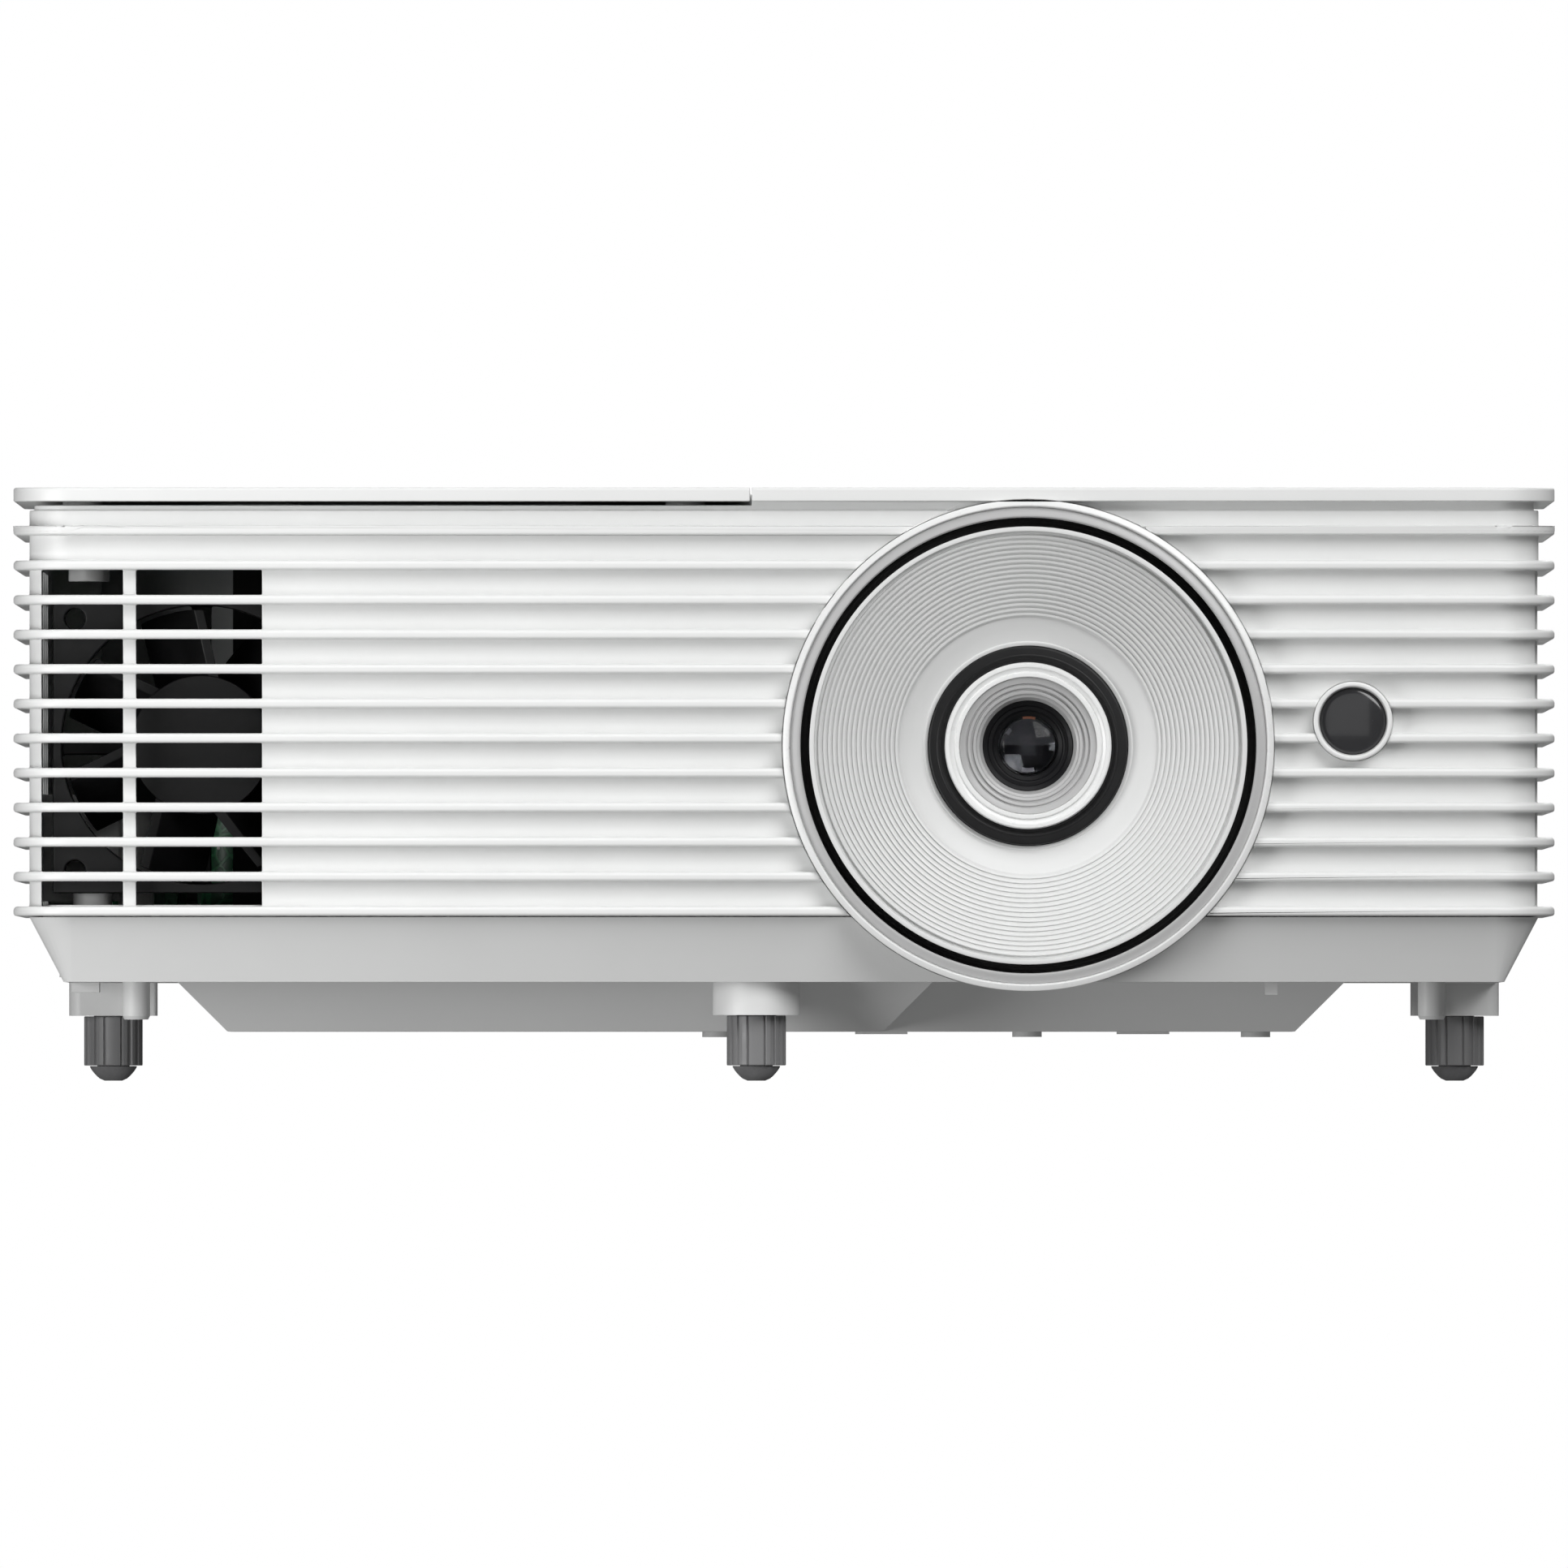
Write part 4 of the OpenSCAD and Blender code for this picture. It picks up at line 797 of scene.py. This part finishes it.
def grip_cut(angle):
    """Depth of a foot's grip at an angle: a wide ridge every quarter, three narrow between."""
    part = math.degrees(angle) % 90
    part = min(part, 90 - part)
    gap = min([part - WIDE_RIDGE] + [abs(part - at) - half for at, half in NARROW_RIDGES])
    return GRIP_DEPTH * min(1.0, max(0.0, gap / 2))


for side in ("front", "left", "right"):
    knob_low, knob_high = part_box(f"{side}_foot_screw")
    tip_low, tip_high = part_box(f"{side}_foot_tip")
    centre = middle(f"{side}_foot_screw")
    knob_r = half_width(f"{side}_foot_screw")
    bottom, top = knob_low.z / MM, knob_high.z / MM
    knob_top = bottom + 10.1
    add_piece(f"{side}_foot_knob", turn(mm_outline([
        (0, bottom + 2.9), (3.4, bottom + 2.9, 0.1), (3.4, bottom, 0.15),
        (knob_r, bottom, 0.3), (knob_r, bottom + 0.5), (knob_r, knob_top - 0.5),
        (knob_r, knob_top, 0.3), (3.95, knob_top, 0.1), (3.95, top, 0.4), (0, top)]),
        centre, axis="Z", steps=360, depth=grip_cut,
        fluted=(bottom * MM, knob_top * MM, (knob_r - 0.3) * MM)),
        f"{side}_foot_screw", "foot_grey", replaces=[f"{side}_foot_screw"])
    base, tip_top = tip_low.z / MM, tip_high.z / MM
    dome = [(0, base), (1.8, base, 0.3), (2.8, base + 0.45), (3.4, base + 0.95),
            (3.9, base + 1.5), (4.35, base + 2.05), (4.7, base + 2.6), (4.85, base + 3.0, 0.1),
            (3.3, base + 3.0, 0.05), (3.3, tip_top, 0.3), (0, tip_top)]
    add_piece(f"{side}_foot_dome", turn(mm_outline(dome), centre, axis="Z", steps=96),
              f"{side}_foot_tip", "foot_rubber", replaces=[f"{side}_foot_tip"])

# ---- Camera, floor and light ---------------------------------------------------------

FRAME_FILL = 0.984
SENSOR = 36.0
LENS = 1700.0
EYE_HEIGHT = 0
CLIP_END = 60
centre = (cad_low + cad_high) / 2
frame_width = (cad_high.x - cad_low.x) / FRAME_FILL
camera_data = bpy.data.cameras.new("camera")
camera_data.lens = LENS
camera_data.sensor_width = SENSOR
camera_data.clip_end = CLIP_END
camera = bpy.data.objects.new("camera", camera_data)
# A long lens at table height, so the feet stand level and the table is seen edge-on.
camera.location = (centre.x, cad_low.y - frame_width * LENS / SENSOR, EYE_HEIGHT)
aim = Vector((centre.x, cad_low.y, centre.z)) - camera.location
camera.rotation_euler = aim.to_track_quat("-Z", "Y").to_euler()
scene.collection.objects.link(camera)
scene.camera = camera


def make_floor(half_size):
    """Pale table top. It casts no shadow and no tint, and is clear from below."""
    bm = bmesh.new()
    bmesh.ops.create_grid(bm, x_segments=1, y_segments=1, size=half_size)
    mesh = bpy.data.meshes.new("floor")
    bm.to_mesh(mesh)
    bm.free()
    floor = bpy.data.objects.new("floor", mesh)
    scene.collection.objects.link(floor)
    mat, tree, shader, _ = new_material("pale_floor")
    shader.inputs["Base Color"].default_value = (0.93, 0.93, 0.93, 1)
    shader.inputs["Roughness"].default_value = 0.7
    side = tree.nodes.new("ShaderNodeNewGeometry")
    clear = tree.nodes.new("ShaderNodeBsdfTransparent")
    choose = tree.nodes.new("ShaderNodeMixShader")
    tree.links.new(side.outputs["Backfacing"], choose.inputs["Fac"])
    tree.links.new(shader.outputs["BSDF"], choose.inputs[1])
    tree.links.new(clear.outputs["BSDF"], choose.inputs[2])
    tree.links.new(choose.outputs["Shader"], tree.nodes["Material Output"].inputs["Surface"])
    mesh.materials.append(mat)
    floor.visible_diffuse = False
    floor.visible_glossy = False
    floor.visible_shadow = False


make_floor(3.0)


def make_sky(ground, level, high):
    """Studio surround: white behind the object, and a soft grey gradient as its light."""
    world = bpy.data.worlds.new("studio")
    scene.world = world
    world.use_nodes = True
    tree = world.node_tree
    tree.nodes.clear()
    coords = tree.nodes.new("ShaderNodeTexCoord")
    split = tree.nodes.new("ShaderNodeSeparateXYZ")
    tree.links.new(coords.outputs["Generated"], split.inputs["Vector"])
    height = tree.nodes.new("ShaderNodeMapRange")
    height.inputs["From Min"].default_value = -1
    tree.links.new(split.outputs["Z"], height.inputs["Value"])
    ramp = tree.nodes.new("ShaderNodeValToRGB")
    ramp.color_ramp.elements[0].color = (ground, ground, ground, 1)
    ramp.color_ramp.elements[1].color = (high, high, high, 1)
    stop = ramp.color_ramp.elements.new(0.5)
    stop.color = (level, level, level, 1)
    tree.links.new(height.outputs["Result"], ramp.inputs["Fac"])
    sky = tree.nodes.new("ShaderNodeBackground")
    tree.links.new(ramp.outputs["Color"], sky.inputs["Color"])
    backdrop = tree.nodes.new("ShaderNodeBackground")
    backdrop.inputs["Color"].default_value = (1, 1, 1, 1)
    rays = tree.nodes.new("ShaderNodeLightPath")
    choose = tree.nodes.new("ShaderNodeMixShader")
    tree.links.new(rays.outputs["Is Camera Ray"], choose.inputs["Fac"])
    tree.links.new(sky.outputs[0], choose.inputs[1])
    tree.links.new(backdrop.outputs[0], choose.inputs[2])
    out = tree.nodes.new("ShaderNodeOutputWorld")
    tree.links.new(choose.outputs[0], out.inputs["Surface"])


make_sky(0.24, 0.06, 0.06)


def softbox(name, azimuth, elevation, size, power, distance=2.2):
    """Square area light aimed at the object; azimuth 0 is the front, 90 the right."""
    turn_by, rise = math.radians(azimuth), math.radians(elevation)
    away = Vector((math.sin(turn_by) * math.cos(rise), -math.cos(turn_by) * math.cos(rise),
                   math.sin(rise)))
    data = bpy.data.lights.new(name, "AREA")
    data.shape = "SQUARE"
    data.size = size
    data.energy = power
    lamp = bpy.data.objects.new(name, data)
    lamp.location = centre + away * distance
    lamp.rotation_euler = away.to_track_quat("Z", "Y").to_euler()
    scene.collection.objects.link(lamp)


softbox("front", 0, 5, 1.0, 1.8)
softbox("key", 30, 30, 1.2, 27.5)
softbox("high", 0, 60, 1.2, 15)
softbox("low", -45, -4, 0.3, 2.1, distance=0.7)
softbox("back", 165, 35, 1.2, 18)

scene.view_settings.view_transform = "Standard"
scene.view_settings.look = "None"
scene.view_settings.exposure = 0
scene.view_settings.gamma = 1
